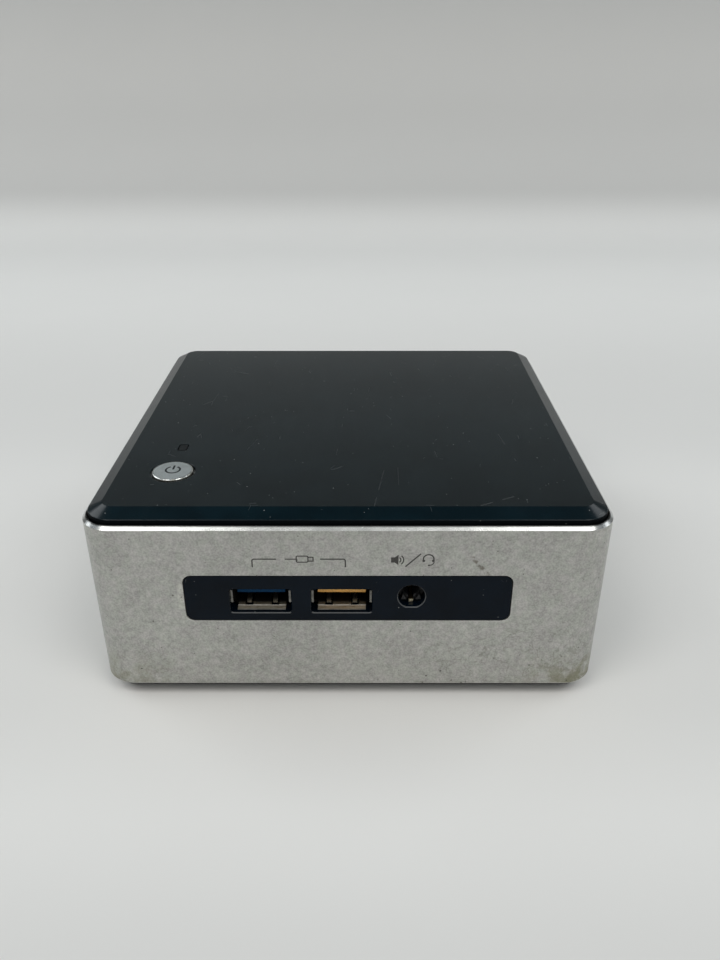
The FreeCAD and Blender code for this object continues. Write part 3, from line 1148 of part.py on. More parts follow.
# ---------------------------------------------------------------- side screens
def side_screen(side):
    """A thin black louvre inside the vent slots."""
    x0, x1 = sorted((side * (IN_X - 0.05), side * (IN_X - 0.85)))
    z0, z1 = VENT_Z0 - 0.9, LEDGE_Z0 - 0.1
    plate = box(x0, x1, -39.0, 39.0, z0, z1)
    rows = 4
    pitch = (z1 - z0 - 1.2) / rows
    slots = [slab("x", 23.0, pitch - 0.9, 0.4, y, z0 + 0.6 + pitch * (i + 0.5), x0 - 1, x1 + 1)
             for i in range(rows) for y in (-25.4, 0.0, 25.4)]
    return less(plate, slots)


# ---------------------------------------------------------------- write the pieces
def port_contacts():
    """Every port's gold contacts: the USB strips, the network socket's wires and the jack's springs."""
    strips = [s for x in FRONT_USB_X for s in usb_contacts(x, USB_Z, USB_FACE_Y, USB_BACK_Y)]
    for k in (-0.5, 0.5):
        strips += usb_contacts(STACK_X, STACK_Z + k * STACK_PITCH, PORT_FACE_Y, PORT_BACK_Y)
    return group(strips + [lan_contacts(), audio_jack_contacts()])


def main():
    save("main_shell", main_shell())
    save("top_lid", top_lid())
    save("lid_screws", lid_screws())
    save("power_button", power_button())
    save("button_guide", button_guide())
    save("button_spring", button_spring())
    save("drive_light_pipe", drive_light_pipe())
    save("power_switch_body", switch_body())
    save("power_switch_plunger", switch_plunger())
    save("front_bezel", front_bezel())
    save("infrared_receiver", infrared_receiver())
    for side, x in zip(("left", "right"), FRONT_USB_X):
        save(f"front_usb_shell_{side}", front_usb_shell(x))
        save(f"front_usb_tongue_{side}", usb_tongue(x, USB_Z, USB_FACE_Y, USB_BACK_Y))
    save("audio_jack_body", audio_jack_body())
    save("port_contacts", port_contacts())
    save("rear_panel", rear_panel())
    save("dc_inlet_body", dc_inlet_body())
    save("dc_inlet_contacts", group([dc_centre_pin(), dc_spring()]))
    save("video_port_shells", group([socket_shell(DP_X, DP_Z, DP_SIZE, 0.6, 0.4, 9.5),
                                     socket_shell(HDMI_X, HDMI_Z, HDMI_SIZE, 0.6, 0.35, 9.5)]))
    save("video_port_tongues", group([small_tongue(DP_X, DP_Z, 5.2, 0.9, 9.5, (7.4, 4.6)),
                                      small_tongue(HDMI_X, HDMI_Z, 7.6, 0.6, 9.5, (10.4, 2.6))]))
    save("lan_shell", lan_shell())
    save("lan_insert", lan_insert())
    save("lan_lights", lan_lights())
    save("rear_usb_shell", stack_shell())
    save("rear_usb_tongues", stack_tongues())
    save("motherboard", motherboard())
    save("board_parts_above", chips_above())
    save("board_parts_below", chips_below())
    save("cpu_package", cpu_package())
    save("cpu_dies", cpu_dies())
    save("heatsink_plate", heatsink_plate())
    save("heat_pipe", heat_pipe())
    save("heatsink_fins", heatsink_fins())
    save("blower_housing", blower_housing())
    save("blower_bush", fan_bush())
    save("blower_stator", fan_stator())
    save("blower_impeller", fan_impeller())
    save("board_leads", group([blower_lead(), battery_lead()]))
    save("memory_sockets", group([memory_socket(level) for level in MEM_LEVELS]))
    save("memory_modules", group([memory_module(level) for level in MEM_LEVELS]))
    save("m2_socket", m2_socket())
    save("m2_drive", m2_drive())
    save("board_screws", group([m2_screw(), heatsink_screws()]))
    save("radio_module", radio_module())
    save("aerials", group([aerial(-1), aerial(1)]))
    save("aerial_leads", aerial_leads())
    save("clock_battery", clock_battery())
    save("drive_cable_plugs", group([cable_header(), cable_plug()]))
    save("drive_cable", drive_cable())
    save("cover_standoffs", cover_standoffs())
    save("side_screens", group([side_screen(-1), side_screen(1)]))
    save("base_cover", base_cover())
    save("rubber_feet", rubber_feet())
    save("captive_screws", captive_screws())
    save("drive_bracket", drive_bracket())
    save("drive_screws", group([bracket_screws(), drive_screws()]))
    save("drive_case", drive_case())
    save("drive_backplane", group([backplane(), drive_socket(), backplane_socket()]))


main()
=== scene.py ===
import json
import math

import bmesh
import bpy
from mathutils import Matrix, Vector


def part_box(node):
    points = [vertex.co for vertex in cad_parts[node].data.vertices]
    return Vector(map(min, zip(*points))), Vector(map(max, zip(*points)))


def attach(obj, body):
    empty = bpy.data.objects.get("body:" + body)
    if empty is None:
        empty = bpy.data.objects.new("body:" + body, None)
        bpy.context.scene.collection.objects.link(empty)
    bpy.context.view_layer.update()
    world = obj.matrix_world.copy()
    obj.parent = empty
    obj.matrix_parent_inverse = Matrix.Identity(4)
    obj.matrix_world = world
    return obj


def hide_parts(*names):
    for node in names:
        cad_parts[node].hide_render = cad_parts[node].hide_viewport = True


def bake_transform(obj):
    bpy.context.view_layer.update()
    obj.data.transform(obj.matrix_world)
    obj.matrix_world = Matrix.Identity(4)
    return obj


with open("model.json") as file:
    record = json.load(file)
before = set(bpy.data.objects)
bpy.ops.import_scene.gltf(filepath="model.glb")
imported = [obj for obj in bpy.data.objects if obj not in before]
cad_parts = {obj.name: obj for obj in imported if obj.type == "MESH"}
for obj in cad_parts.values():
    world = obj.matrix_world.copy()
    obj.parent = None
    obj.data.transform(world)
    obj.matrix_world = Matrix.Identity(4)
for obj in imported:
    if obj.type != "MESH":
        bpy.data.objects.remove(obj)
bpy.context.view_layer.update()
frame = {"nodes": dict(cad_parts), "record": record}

MM = 0.001
NODES = frame["nodes"]

# ---------------------------------------------------------------- the frame's boxes and the design's sizes
SHELL_LO, SHELL_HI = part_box("main_shell")
_, LID_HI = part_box("top_lid")
BUTTON_LO, BUTTON_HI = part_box("power_button")
COVER_LO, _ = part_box("base_cover")
CABLE_LO, CABLE_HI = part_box("drive_cable")
SPRING_LO, SPRING_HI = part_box("button_spring")
BEZEL_LO, BEZEL_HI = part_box("front_bezel")
USB_LO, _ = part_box("front_usb_shell_left")
FRONT_Y = SHELL_LO.y
BEZEL_AT = (BEZEL_LO + BEZEL_HI) / 2
BUTTON_AT = (BUTTON_LO + BUTTON_HI) / 2
USB_MOUTH_Y = USB_LO.y + 1.2 * MM  # behind the flared lips
USB_FLOOR_Z = USB_LO.z + 0.47 * MM
JACK_X, JACK_Z = 13.98 * MM, 28.4 * MM  # the headset jack's axis
JACK_REACH = 3.6 * MM  # how far from its axis the window's edge round it goes
CHAMFER_Z = SHELL_HI.z - 0.8 * MM  # where the case's polished chamfer starts
LID_SIDE_TOP = LID_HI.z - 1.55 * MM  # where the lid's bevel starts
CAP_R = 4.65 * MM  # the power button's face
PRINT_T = 0.012 * MM  # how far print stands out, and how deep it sits in


# ---------------------------------------------------------------- materials
class Graph:
    """A node tree. Each call adds one node or a few and returns an output. Numbers and sockets are both taken."""

    def __init__(self, tree):
        self.tree = tree

    def feed(self, socket, value):
        """Links an output to a socket, or sets the socket to a constant."""
        if isinstance(value, bpy.types.NodeSocket):
            self.tree.links.new(value, socket)
        else:
            socket.default_value = value

    def node(self, kind, inputs=(), **settings):
        """A new node with its settings made and its inputs fed."""
        made = self.tree.nodes.new("ShaderNode" + kind)
        for key, value in settings.items():
            setattr(made, key, value)
        for key, value in dict(inputs).items():
            self.feed(made.inputs[key], value)
        return made

    def axis(self, which, vector):
        """The X, Y or Z part of a vector."""
        return self.node("SeparateXYZ", {"Vector": vector}).outputs["XYZ".index(which)]

    def span(self, value, a, b, low=0.0, high=1.0):
        """value from a to b becomes low to high, smoothly, and stays there outside."""
        made = self.node("MapRange", {"Value": value, "From Min": a, "From Max": b, "To Min": low, "To Max": high},
                         interpolation_type="SMOOTHSTEP")
        return made.outputs["Result"]

    def mix(self, share, a, b):
        """Colours a and b, with that share of b."""
        made = self.node("Mix", data_type="RGBA")
        for socket, value in ((0, share), (6, a), (7, b)):
            if isinstance(value, tuple) and len(value) == 3:
                value = (*value, 1.0)
            self.feed(made.inputs[socket], value)
        return made.outputs[2]


class Shader(Graph):
    """A procedural material."""

    def __init__(self, name, color, rough, metallic=0.0, **constants):
        self.material = bpy.data.materials.new(name)
        self.material.use_nodes = True
        super().__init__(self.material.node_tree)
        self.bsdf = self.tree.nodes["Principled BSDF"]
        self.point = self.node("TexCoord").outputs["Object"]
        self.put("Base Color", (*color, 1.0))
        self.put("Roughness", rough)
        self.put("Metallic", metallic)
        for socket, value in constants.items():
            self.put(socket.replace("_", " "), value)
        self.bump_out = None

    def put(self, socket, value):
        """Feeds one of the shader's own sockets."""
        self.feed(self.bsdf.inputs[socket], value)

    def along(self, which):
        """The X, Y or Z place on the object."""
        return self.axis(which, self.point)

    def facing(self, which):
        """How far the surface faces along X, Y or Z, from -1 to 1."""
        return self.axis(which, self.node("NewGeometry").outputs["Normal"])

    def moved(self, shift=(0, 0, 0), scale=(1, 1, 1), turn=(0, 0, 0)):
        """The place on the object after a scale, a turn and a shift, to put a pattern there."""
        made = self.node("Mapping", {"Vector": self.point, "Location": shift, "Scale": scale, "Rotation": turn})
        return made.outputs["Vector"]

    def noise(self, size, detail=3.0, rough=0.5, warp=0.0, at=None):
        """Smooth noise with features of about that size in metres."""
        made = self.node("TexNoise", {"Vector": at or self.point, "Scale": 1 / size, "Detail": detail,
                                      "Roughness": rough, "Distortion": warp})
        return made.outputs["Fac"]

    def cells(self, size, feature="F1", output="Distance", at=None):
        """Irregular cells of about that size in metres."""
        made = self.node("TexVoronoi", {"Vector": at or self.point, "Scale": 1 / size}, feature=feature)
        return made.outputs[output]

    def math(self, how, a, b=0.0):
        """Two numbers joined by a math node's operation, or one changed by it."""
        return self.node("Math", {0: a, 1: b}, operation=how).outputs[0]

    def chained(self, how, values):
        """All the values joined by one operation, in their order."""
        out = values[0]
        for value in values[1:]:
            out = self.math(how, out, value)
        return out

    def total(self, *values):
        """Numbers added up."""
        return self.chained("ADD", values)

    def both(self, *values):
        """Masks and numbers multiplied: shows where all of them do."""
        return self.chained("MULTIPLY", values)

    def either(self, *values):
        """The greatest of some masks: shows where any of them does."""
        return self.chained("MAXIMUM", values)

    def near(self, value, middle, outer, inner):
        """A mask of where value is near middle: none outer or more away from it, full within inner."""
        return self.span(self.math("ABSOLUTE", self.math("SUBTRACT", value, middle)), outer, inner)

    def between(self, value, a, b, soft):
        """A mask of where value is from a to b, with soft edges inside them."""
        return self.both(self.span(value, a, a + soft), self.span(value, b, b - soft))

    def length(self, vector):
        """A vector's length."""
        return self.node("VectorMath", {0: vector}, operation="LENGTH").outputs["Value"]

    def blend(self, share, a, b):
        """Numbers a and b, with that share of b."""
        return self.node("Mix", {0: share, 2: a, 3: b}, data_type="FLOAT").outputs[0]

    def scaled(self, color, factor):
        """A colour times a number."""
        return self.node("VectorMath", {0: color, "Scale": factor}, operation="SCALE").outputs[0]

    def bump(self, height, depth, strength=1.0):
        """Adds relief: height 0 to 1 stands for depth metres."""
        inputs = {"Height": height, "Distance": depth, "Strength": strength}
        if self.bump_out is not None:
            inputs["Normal"] = self.bump_out
        self.bump_out = self.node("Bump", inputs).outputs["Normal"]
        self.put("Normal", self.bump_out)

    # patterns that several materials share
    def specks(self, size, share, radius=0.25, seed=0.0):
        """Small round specks in a share of the cells of that size, as a mask."""
        at = self.moved(shift=(seed, seed * 0.7, seed * 1.3))
        chosen = self.span(self.axis("X", self.cells(size, output="Color", at=at)), 1 - share, 1 - share + 0.01)
        dot = self.span(self.cells(size, at=at), radius, radius * 0.5)
        return self.both(chosen, dot)

    def scratches(self, size, width, share, turn=0.0, stretch=4.0, seed=0.0):
        """Fine broken scratches: the thin edges of long cells, where a noise lets them show."""
        at = self.moved(shift=(seed, seed, seed), scale=(1, 1 / stretch, 1 / stretch),
                        turn=(turn * 0.6, turn * 0.4, turn))
        line = self.span(self.cells(size, feature="DISTANCE_TO_EDGE", at=at), width, 0.0)
        shown = self.span(self.noise(size * 0.8, detail=1.0, at=self.moved(shift=(seed, 0, seed))),
                          1 - share, 1 - share + 0.04)
        return self.both(line, shown)

    def spot(self, centre, radii, soft=0.5):
        """A soft-edged blob round a point, as a mask."""
        away = self.node("VectorMath", {0: self.point, 1: centre}, operation="SUBTRACT").outputs[0]
        squeezed = self.node("VectorMath", {0: away, 1: radii}, operation="DIVIDE").outputs[0]
        return self.span(self.length(squeezed), 1.0, 1.0 - soft)


SCUFF_AT = Vector((28.4 * MM, FRONT_Y, 36.6 * MM))  # above the front window, at the right


def case_metal():
    """Silver blasted metal with handling stains, pits, grime low in the corners, a rubbed foot edge that is partly
    painted highlight, and a polished upper edge with painted shade on its top.
    """
    s = Shader("case_metal", (0.42, 0.42, 0.40), 0.42, metallic=0.75)
    x, z = s.along("X"), s.along("Z")
    grain = s.noise(0.00040, detail=1.5)
    mottle = s.noise(0.0012, detail=3.0, rough=0.65)
    blotch = s.noise(0.0060, detail=7.0, rough=0.68, warp=0.5)
    cloud = s.noise(0.030, detail=3.0)
    shade = s.total(s.span(grain, 0.28, 0.72, -0.135, 0.125), s.span(mottle, 0.3, 0.7, -0.10, 0.10),
                    s.span(blotch, 0.36, 0.64, -0.055, 0.045), s.span(cloud, 0.35, 0.65, -0.02, 0.02), 1.0)
    tint = s.mix(s.span(s.noise(0.0022, detail=2.0), 0.38, 0.62), (0.430, 0.421, 0.404), (0.418, 0.424, 0.392))
    color = s.scaled(tint, shade)

    # thin winding stains, mostly low at the right
    stained = s.either(s.spot((38 * MM, FRONT_Y, 12 * MM), (28 * MM, 20 * MM, 11 * MM)),
                       s.both(s.span(s.noise(0.019, detail=2.0), 0.52, 0.64), 0.35))
    worms = s.both(s.near(s.noise(0.0046, detail=2.5, warp=0.8), 0.5, 0.024, 0.004), stained)
    color = s.mix(s.both(worms, 0.42), color, (0.22, 0.22, 0.19))

    # grime along the foot and up the front corners, and the rubbed hem under it, whose light line is partly a
    # painted highlight of the rounded bottom edge
    foot = s.both(s.span(z, SHELL_LO.z + 1.6 * MM, SHELL_LO.z), s.span(s.noise(0.0028, detail=4.0), 0.42, 0.64))
    color = s.mix(s.both(foot, 0.30), color, (0.17, 0.165, 0.12))
    corner = s.both(s.span(z, SHELL_LO.z + 11 * MM, SHELL_LO.z + 1 * MM),
                    s.span(s.math("ABSOLUTE", x), 34 * MM, 55 * MM), s.span(x, -10 * MM, 10 * MM, 0.6, 1.0))
    grime = s.both(corner, s.span(s.noise(0.0035, detail=5.0, rough=0.65), 0.36, 0.60))
    color = s.mix(s.both(grime, 0.72), color, (0.175, 0.17, 0.085))
    # painted highlight: the hem's lighter line is partly wear, partly the light a rounded edge would catch
    worn_hem_and_highlight = s.both(s.span(z, SHELL_LO.z + 0.34 * MM, SHELL_LO.z + 0.12 * MM), s.span(mottle, 0.3, 0.6, 0.45, 1.0))
    color = s.mix(s.both(worn_hem_and_highlight, 0.8), color, (0.74, 0.74, 0.70))

    # pits everywhere, and more of them low at the right
    pits = s.either(s.specks(0.0046, 0.22, 0.07, seed=0.19), s.specks(0.0021, 0.10, 0.10, seed=0.13),
                    s.specks(0.0012, 0.08, 0.16, seed=0.31),
                    s.both(s.specks(0.0023, 0.8, 0.15, seed=0.53), s.span(z, 17 * MM, 7 * MM),
                           s.span(x, -10 * MM, 24 * MM)))
    color = s.mix(s.both(pits, 0.7), color, (0.09, 0.085, 0.075))

    # the slanted scuff, and a pale upright trace left of the window
    slant = s.moved(shift=(-SCUFF_AT.x, 0, -SCUFF_AT.z))
    across = s.total(s.axis("X", slant), s.both(s.axis("Z", slant), 0.8))
    scuff = s.both(s.near(across, 0.0, 0.9 * MM, 0.2 * MM), s.spot(SCUFF_AT, (4.5 * MM, 9 * MM, 4.2 * MM)),
                   s.span(s.noise(0.0011, detail=3.0), 0.42, 0.58))
    color = s.mix(s.both(scuff, 0.80), color, (0.14, 0.12, 0.095))
    ghost = s.both(s.between(x, -37.5 * MM, -36.0 * MM, 0.3 * MM), s.between(z, 24.9 * MM, 32.2 * MM, 0.5 * MM),
                   s.span(mottle, 0.35, 0.6, 0.25, 1.0))
    color = s.mix(s.both(ghost, 0.55), color, (0.62, 0.63, 0.56))

    # the polished chamfer round the top, its uppermost part darkened as painted shade of a rounded edge
    edge = s.both(s.span(z, CHAMFER_Z - 0.06 * MM, CHAMFER_Z + 0.02 * MM),
                  s.span(s.math("ABSOLUTE", s.facing("Z")), 0.25, 0.5))
    nicks = s.both(s.specks(0.0031, 0.3, 0.13, seed=0.7), s.span(s.noise(0.0008, detail=2.0), 0.4, 0.6))
    # painted shade: the chamfer darkens towards the case's top edge, as light falls on a rounded edge
    upper = s.span(z, SHELL_HI.z - 0.02 * MM, SHELL_HI.z - 0.36 * MM, 0.05, 1.0)
    worn = s.span(s.noise(0.004, detail=4.0, rough=0.6), 0.3, 0.7, 0.80, 1.04)
    polished_and_painted_shade = s.mix(s.both(nicks, 0.8), s.scaled((0.69, 0.70, 0.69), s.both(worn, upper)), (0.15, 0.15, 0.14))

    s.put("Base Color", s.mix(edge, color, polished_and_painted_shade))
    rough = s.total(s.span(blotch, 0.3, 0.7, 0.47, 0.38), s.both(pits, 0.3))
    s.put("Roughness", s.blend(edge, rough, 0.22))
    s.put("Metallic", s.blend(edge, 0.75, 0.95))
    s.bump(grain, 0.010 * MM, 0.7)
    s.bump(s.math("SUBTRACT", 1.0, pits), 0.05 * MM, 0.7)
    return s.material


def gloss_black(name, color, ior=1.45, scratch_share=0.5, dust=1.0, rough=0.08):
    """High-gloss black plastic with hairline scratches, dust and a few smudges."""
    s = Shader(name, color, rough, IOR=ior)
    lines = s.either(s.scratches(0.013, 0.006, scratch_share * 0.72, turn=0.5, seed=0.31),
                     s.scratches(0.009, 0.007, scratch_share * 0.66, turn=2.2, stretch=2.0, seed=0.57),
                     s.scratches(0.006, 0.010, scratch_share * 0.62, turn=1.3, stretch=1.4, seed=0.11))
    near_front = s.span(s.along("Y"), FRONT_Y + 22 * MM, FRONT_Y + 4 * MM)
    fibres = s.scratches(0.0062, 0.012, 0.34 * dust, turn=0.9, stretch=2.2, seed=0.83)
    motes = s.either(s.both(s.specks(0.0042, 0.26 * dust, 0.040), 0.55),
                     s.specks(0.0016, 0.045 * dust, 0.11, seed=0.4),
                     s.specks(0.0009, 0.05 * dust, 0.13, seed=0.9),
                     s.both(s.specks(0.0018, 0.14 * dust, 0.10, seed=0.62), near_front, 0.7),
                     s.both(fibres, near_front, 0.32))
    wiped = s.noise(0.0011, detail=2.0, at=s.moved(turn=(0, 0, 0.7), scale=(1, 0.25, 1)))
    smudge = s.both(s.span(s.noise(0.017, detail=5.0, rough=0.6, warp=0.6), 0.52, 0.70), s.span(wiped, 0.3, 0.7))
    tone = s.mix(s.span(s.noise(0.009, detail=4.0), 0.35, 0.65), color, tuple(1.5 * c for c in color))
    tone = s.mix(s.both(lines, 0.075), tone, (0.35, 0.37, 0.38))
    s.put("Base Color", s.mix(s.both(motes, 0.35), tone, (0.45, 0.46, 0.45)))
    s.put("Roughness", s.blend(s.either(lines, motes), s.total(s.both(smudge, 0.06), rough), 0.45))
    s.bump(s.noise(0.03, detail=1.0), 0.02 * MM, 0.25)
    s.bump(s.math("SUBTRACT", 1.0, lines), 0.004 * MM, 0.5)
    return s.material


def lid_side():
    """The lid's matt black side, below its bevel, kept darker and duller than the lid as painted shade of the gap
    over the case.
    """
    color = (0.002, 0.003, 0.004)
    s = Shader("lid_side", color, 0.55, IOR=1.1)
    grain = s.noise(0.0003, detail=2.0)
    dust = s.both(s.specks(0.0012, 0.12, 0.16, seed=0.2), 0.5)
    s.put("Base Color", s.mix(dust, s.scaled(color, s.span(grain, 0.3, 0.7, 0.7, 1.3)), (0.12, 0.12, 0.11)))
    s.put("Roughness", s.span(grain, 0.3, 0.7, 0.48, 0.62))
    return s.material


def moulded(name, color, rough=0.5, grain=0.0004, relief=0.012, dusty=0.12, ior=1.49):
    """Moulded plastic with a spark-eroded grain and a little dust. relief is the grain's depth in millimetres."""
    s = Shader(name, color, rough, IOR=ior)
    texture = s.noise(grain, detail=2.0, rough=0.6)
    patch = s.noise(0.012, detail=5.0, rough=0.6)
    dust = s.both(s.span(patch, 0.48, 0.75), s.span(s.noise(0.0007, detail=2.0), 0.35, 0.7))
    tone = s.scaled(color, s.span(texture, 0.3, 0.7, 0.82, 1.2))
    s.put("Base Color", s.mix(s.both(dust, dusty), tone, (0.33, 0.32, 0.29)))
    s.put("Roughness", s.total(s.span(texture, 0.3, 0.7, rough - 0.07, rough + 0.07), s.both(dust, 0.15)))
    s.bump(texture, relief * MM)
    return s.material


def sheet_metal(name, color, rough=0.28, lines="X", tarnish=0.25, grime=(0.25, 0.20, 0.13)):
    """Pressed or rolled metal: fine lines along one axis, blotchy tarnish and a few scratches."""
    s = Shader(name, color, rough, metallic=1.0)
    stretch = {"X": (0.04, 1, 1), "Y": (1, 0.04, 1), "Z": (1, 1, 0.04)}[lines]
    rolled = s.noise(0.00016, detail=3.0, at=s.moved(scale=stretch))
    blotch = s.noise(0.0028, detail=5.0, rough=0.65)
    scratch = s.scratches(0.004, 0.02, 0.45, turn=0.9, seed=0.2)
    tone = s.scaled(color, s.span(rolled, 0.3, 0.7, 0.88, 1.1))
    tone = s.mix(s.both(s.span(blotch, 0.5, 0.75), tarnish), tone, grime)
    s.put("Base Color", s.mix(s.both(scratch, 0.3), tone, (0.85, 0.84, 0.8)))
    s.put("Roughness", s.total(s.span(rolled, 0.3, 0.7, rough - 0.05, rough + 0.08), s.both(blotch, 0.12)))
    s.bump(rolled, 0.004 * MM, 0.6)
    return s.material


def port_steel():
    """The front sockets' shells: bright lips, a brownish floor with a painted highlight along its bend, and
    painted shade: black deeper in and higher up the walls.
    """
    s = Shader("port_steel", (0.30, 0.27, 0.22), 0.36, metallic=0.85)
    rolled = s.noise(0.00016, detail=3.0, at=s.moved(scale=(0.04, 1, 1)))
    blotch = s.noise(0.0013, detail=5.0, rough=0.65)
    y = s.along("Y")
    deep = s.span(y, USB_MOUTH_Y + 0.15 * MM, USB_MOUTH_Y + 1.7 * MM)
    raised = s.span(s.along("Z"), USB_FLOOR_Z + 0.4 * MM, USB_FLOOR_Z + 1.1 * MM)
    # painted shade: black deeper in and up the walls, where light hardly reaches
    black = s.either(deep, raised)
    lip = s.span(y, USB_LO.y + 0.34 * MM, USB_LO.y + 0.16 * MM)
    # painted highlight along the floor's bend: a bright line, with less metal so that it stays light
    bend = s.both(s.near(y, USB_MOUTH_Y, 0.24 * MM, 0.06 * MM), s.span(raised, 0.5, 0.2))
    tone = s.scaled((0.40, 0.355, 0.27), s.span(rolled, 0.3, 0.7, 0.8, 1.15))
    tone = s.mix(s.both(s.span(blotch, 0.42, 0.66), 0.5), tone, (0.15, 0.115, 0.075))
    tone = s.mix(s.both(black, 0.985), tone, (0.006, 0.005, 0.0045))
    # the bend's painted highlight
    tone = s.mix(s.both(bend, 0.9), tone, s.scaled((0.86, 0.83, 0.76), s.span(blotch, 0.35, 0.65, 0.6, 1.1)))
    tone = s.mix(s.both(lip, 0.9), tone, s.scaled((0.36, 0.35, 0.32), s.span(blotch, 0.3, 0.7, 0.6, 1.1)))
    s.put("Base Color", tone)
    s.put("Metallic", s.span(bend, 0.0, 1.0, 0.68, 0.15))
    s.put("Roughness", s.total(s.span(rolled, 0.3, 0.7, 0.30, 0.42), s.both(black, 0.3)))
    s.bump(rolled, 0.004 * MM, 0.6)
    return s.material


def button_metal():
    """Satin plating with a turned grain on the face, and a bright rubbed rim, chipped and darkened as painted
    shade towards one side.
    """
    s = Shader("button_metal", (0.60, 0.62, 0.61), 0.34, metallic=0.9)
    away = s.moved(shift=(-BUTTON_AT.x, -BUTTON_AT.y, 0))
    radius = s.length(s.node("CombineXYZ", {"X": s.axis("X", away), "Y": s.axis("Y", away)}).outputs[0])
    turned = s.noise(0.00012, detail=2.0, at=s.node("CombineXYZ", {"X": radius}).outputs[0])
    grain = s.noise(0.0002, detail=2.0)
    patch = s.noise(0.0021, detail=5.0, rough=0.6)
    rim = s.span(radius, CAP_R - 0.5 * MM, CAP_R - 0.25 * MM)
    tone = s.total(s.span(grain, 0.3, 0.7, 0.93, 1.06), s.span(patch, 0.35, 0.65, -0.07, 0.07))
    color = s.mix(rim, s.scaled((0.74, 0.76, 0.75), tone), (0.80, 0.81, 0.79))
    # darker and brownish on the button's sides, where it doesn't face up
    darker_sides = s.both(s.span(s.facing("Z"), 0.5, 0.1), s.span(patch, 0.45, 0.6))
    # partly chips, partly painted shade: the rim turns darker towards the right
    rim_chips_and_shade = s.both(rim, s.span(s.noise(0.0010, detail=4.0, rough=0.7), 0.42, 0.58),
                   s.span(s.axis("X", away), -2.2 * MM, 0.4 * MM, 0.25, 1.0))
    color = s.mix(s.both(rim_chips_and_shade, 0.75), color, (0.20, 0.19, 0.14))
    s.put("Base Color", s.mix(s.both(darker_sides, 0.6), color, (0.16, 0.14, 0.08)))
    s.put("Roughness", s.blend(rim, s.span(turned, 0.3, 0.7, 0.30, 0.40), s.span(rim_chips_and_shade, 0.0, 1.0, 0.15, 0.40)))
    s.bump(turned, 0.003 * MM, 0.5)
    s.bump(grain, 0.004 * MM, 0.5)
    return s.material


def circuit_board(name):
    """Solder mask over copper tracks, with plated holes."""
    s = Shader(name, (0.01, 0.05, 0.045), 0.3, IOR=1.5)
    track_at = s.moved(scale=(1, 1, 0.2))
    track = s.near(s.noise(0.0032, detail=1.0, at=track_at), 0.5, 0.03, 0.02)
    lane = s.node("TexBrick", {"Vector": track_at, "Scale": 1.0, "Mortar Size": 0.00022, "Brick Width": 0.009,
                               "Row Height": 0.0008, "Mortar Smooth": 0.1, "Color1": (0, 0, 0, 1),
                               "Color2": (0, 0, 0, 1), "Mortar": (1, 1, 1, 1)}).outputs["Fac"]
    region = s.span(s.noise(0.014, detail=1.0, at=track_at), 0.5, 0.52)
    copper = s.either(s.both(track, 0.8), s.both(lane, region))
    holes = s.specks(0.0026, 0.4, 0.13, seed=0.07)
    color = s.mix(s.both(copper, 0.75), (0.007, 0.034, 0.036), (0.022, 0.11, 0.095))
    s.put("Base Color", s.mix(holes, color, (0.62, 0.47, 0.2)))
    s.put("Roughness", s.blend(holes, s.span(s.noise(0.006), 0.3, 0.7, 0.25, 0.36), 0.3))
    s.bump(copper, 0.02 * MM, 0.5)
    return s.material


def rubber(name, color, dusty=0.3):
    """Matt rubber or soft cable sheath, with dust in its grain."""
    s = Shader(name, color, 0.62, IOR=1.5, Sheen_Weight=0.15)
    grain = s.noise(0.0003, detail=3.0)
    dust = s.both(s.span(s.noise(0.0025, detail=5.0, rough=0.7), 0.45, 0.7), dusty)
    s.put("Base Color", s.mix(dust, s.scaled(color, s.span(grain, 0.3, 0.7, 0.8, 1.25)), (0.30, 0.29, 0.26)))
    s.put("Roughness", s.span(grain, 0.3, 0.7, 0.55, 0.72))
    s.bump(grain, 0.01 * MM)
    return s.material


def light_guide():
    """A smoky light guide: dark like the lid while its lamp is off."""
    s = Shader("clear_light", (0.006, 0.008, 0.009), 0.4, IOR=1.3)
    haze = s.noise(0.0006, detail=4.0)
    s.put("Base Color", s.mix(s.span(haze, 0.3, 0.7), (0.003, 0.004, 0.005), (0.008, 0.010, 0.011)))
    s.put("Roughness", s.span(haze, 0.3, 0.7, 0.34, 0.5))
    return s.material


def ink(name, color):
    """Screen-printed ink, slightly uneven."""
    s = Shader(name, color, 0.5, IOR=1.5)
    worn = s.noise(0.0005, detail=4.0, rough=0.7)
    s.put("Base Color", s.scaled(color, s.span(worn, 0.3, 0.75, 0.8, 1.45)))
    s.put("Roughness", s.span(worn, 0.3, 0.7, 0.42, 0.6))
    return s.material


def paper():
    """A plain silver-grey label, a little stained."""
    s = Shader("blank_label", (0.62, 0.62, 0.60), 0.45, IOR=1.5)
    fibre = s.noise(0.0006, detail=5.0, rough=0.7)
    stain = s.both(s.span(s.noise(0.012, detail=4.0), 0.5, 0.7), 0.25)
    clean = s.scaled((0.60, 0.60, 0.58), s.span(fibre, 0.3, 0.7, 0.95, 1.05))
    s.put("Base Color", s.mix(stain, clean, (0.42, 0.40, 0.34)))
    s.put("Roughness", s.span(fibre, 0.3, 0.7, 0.38, 0.55))
    return s.material


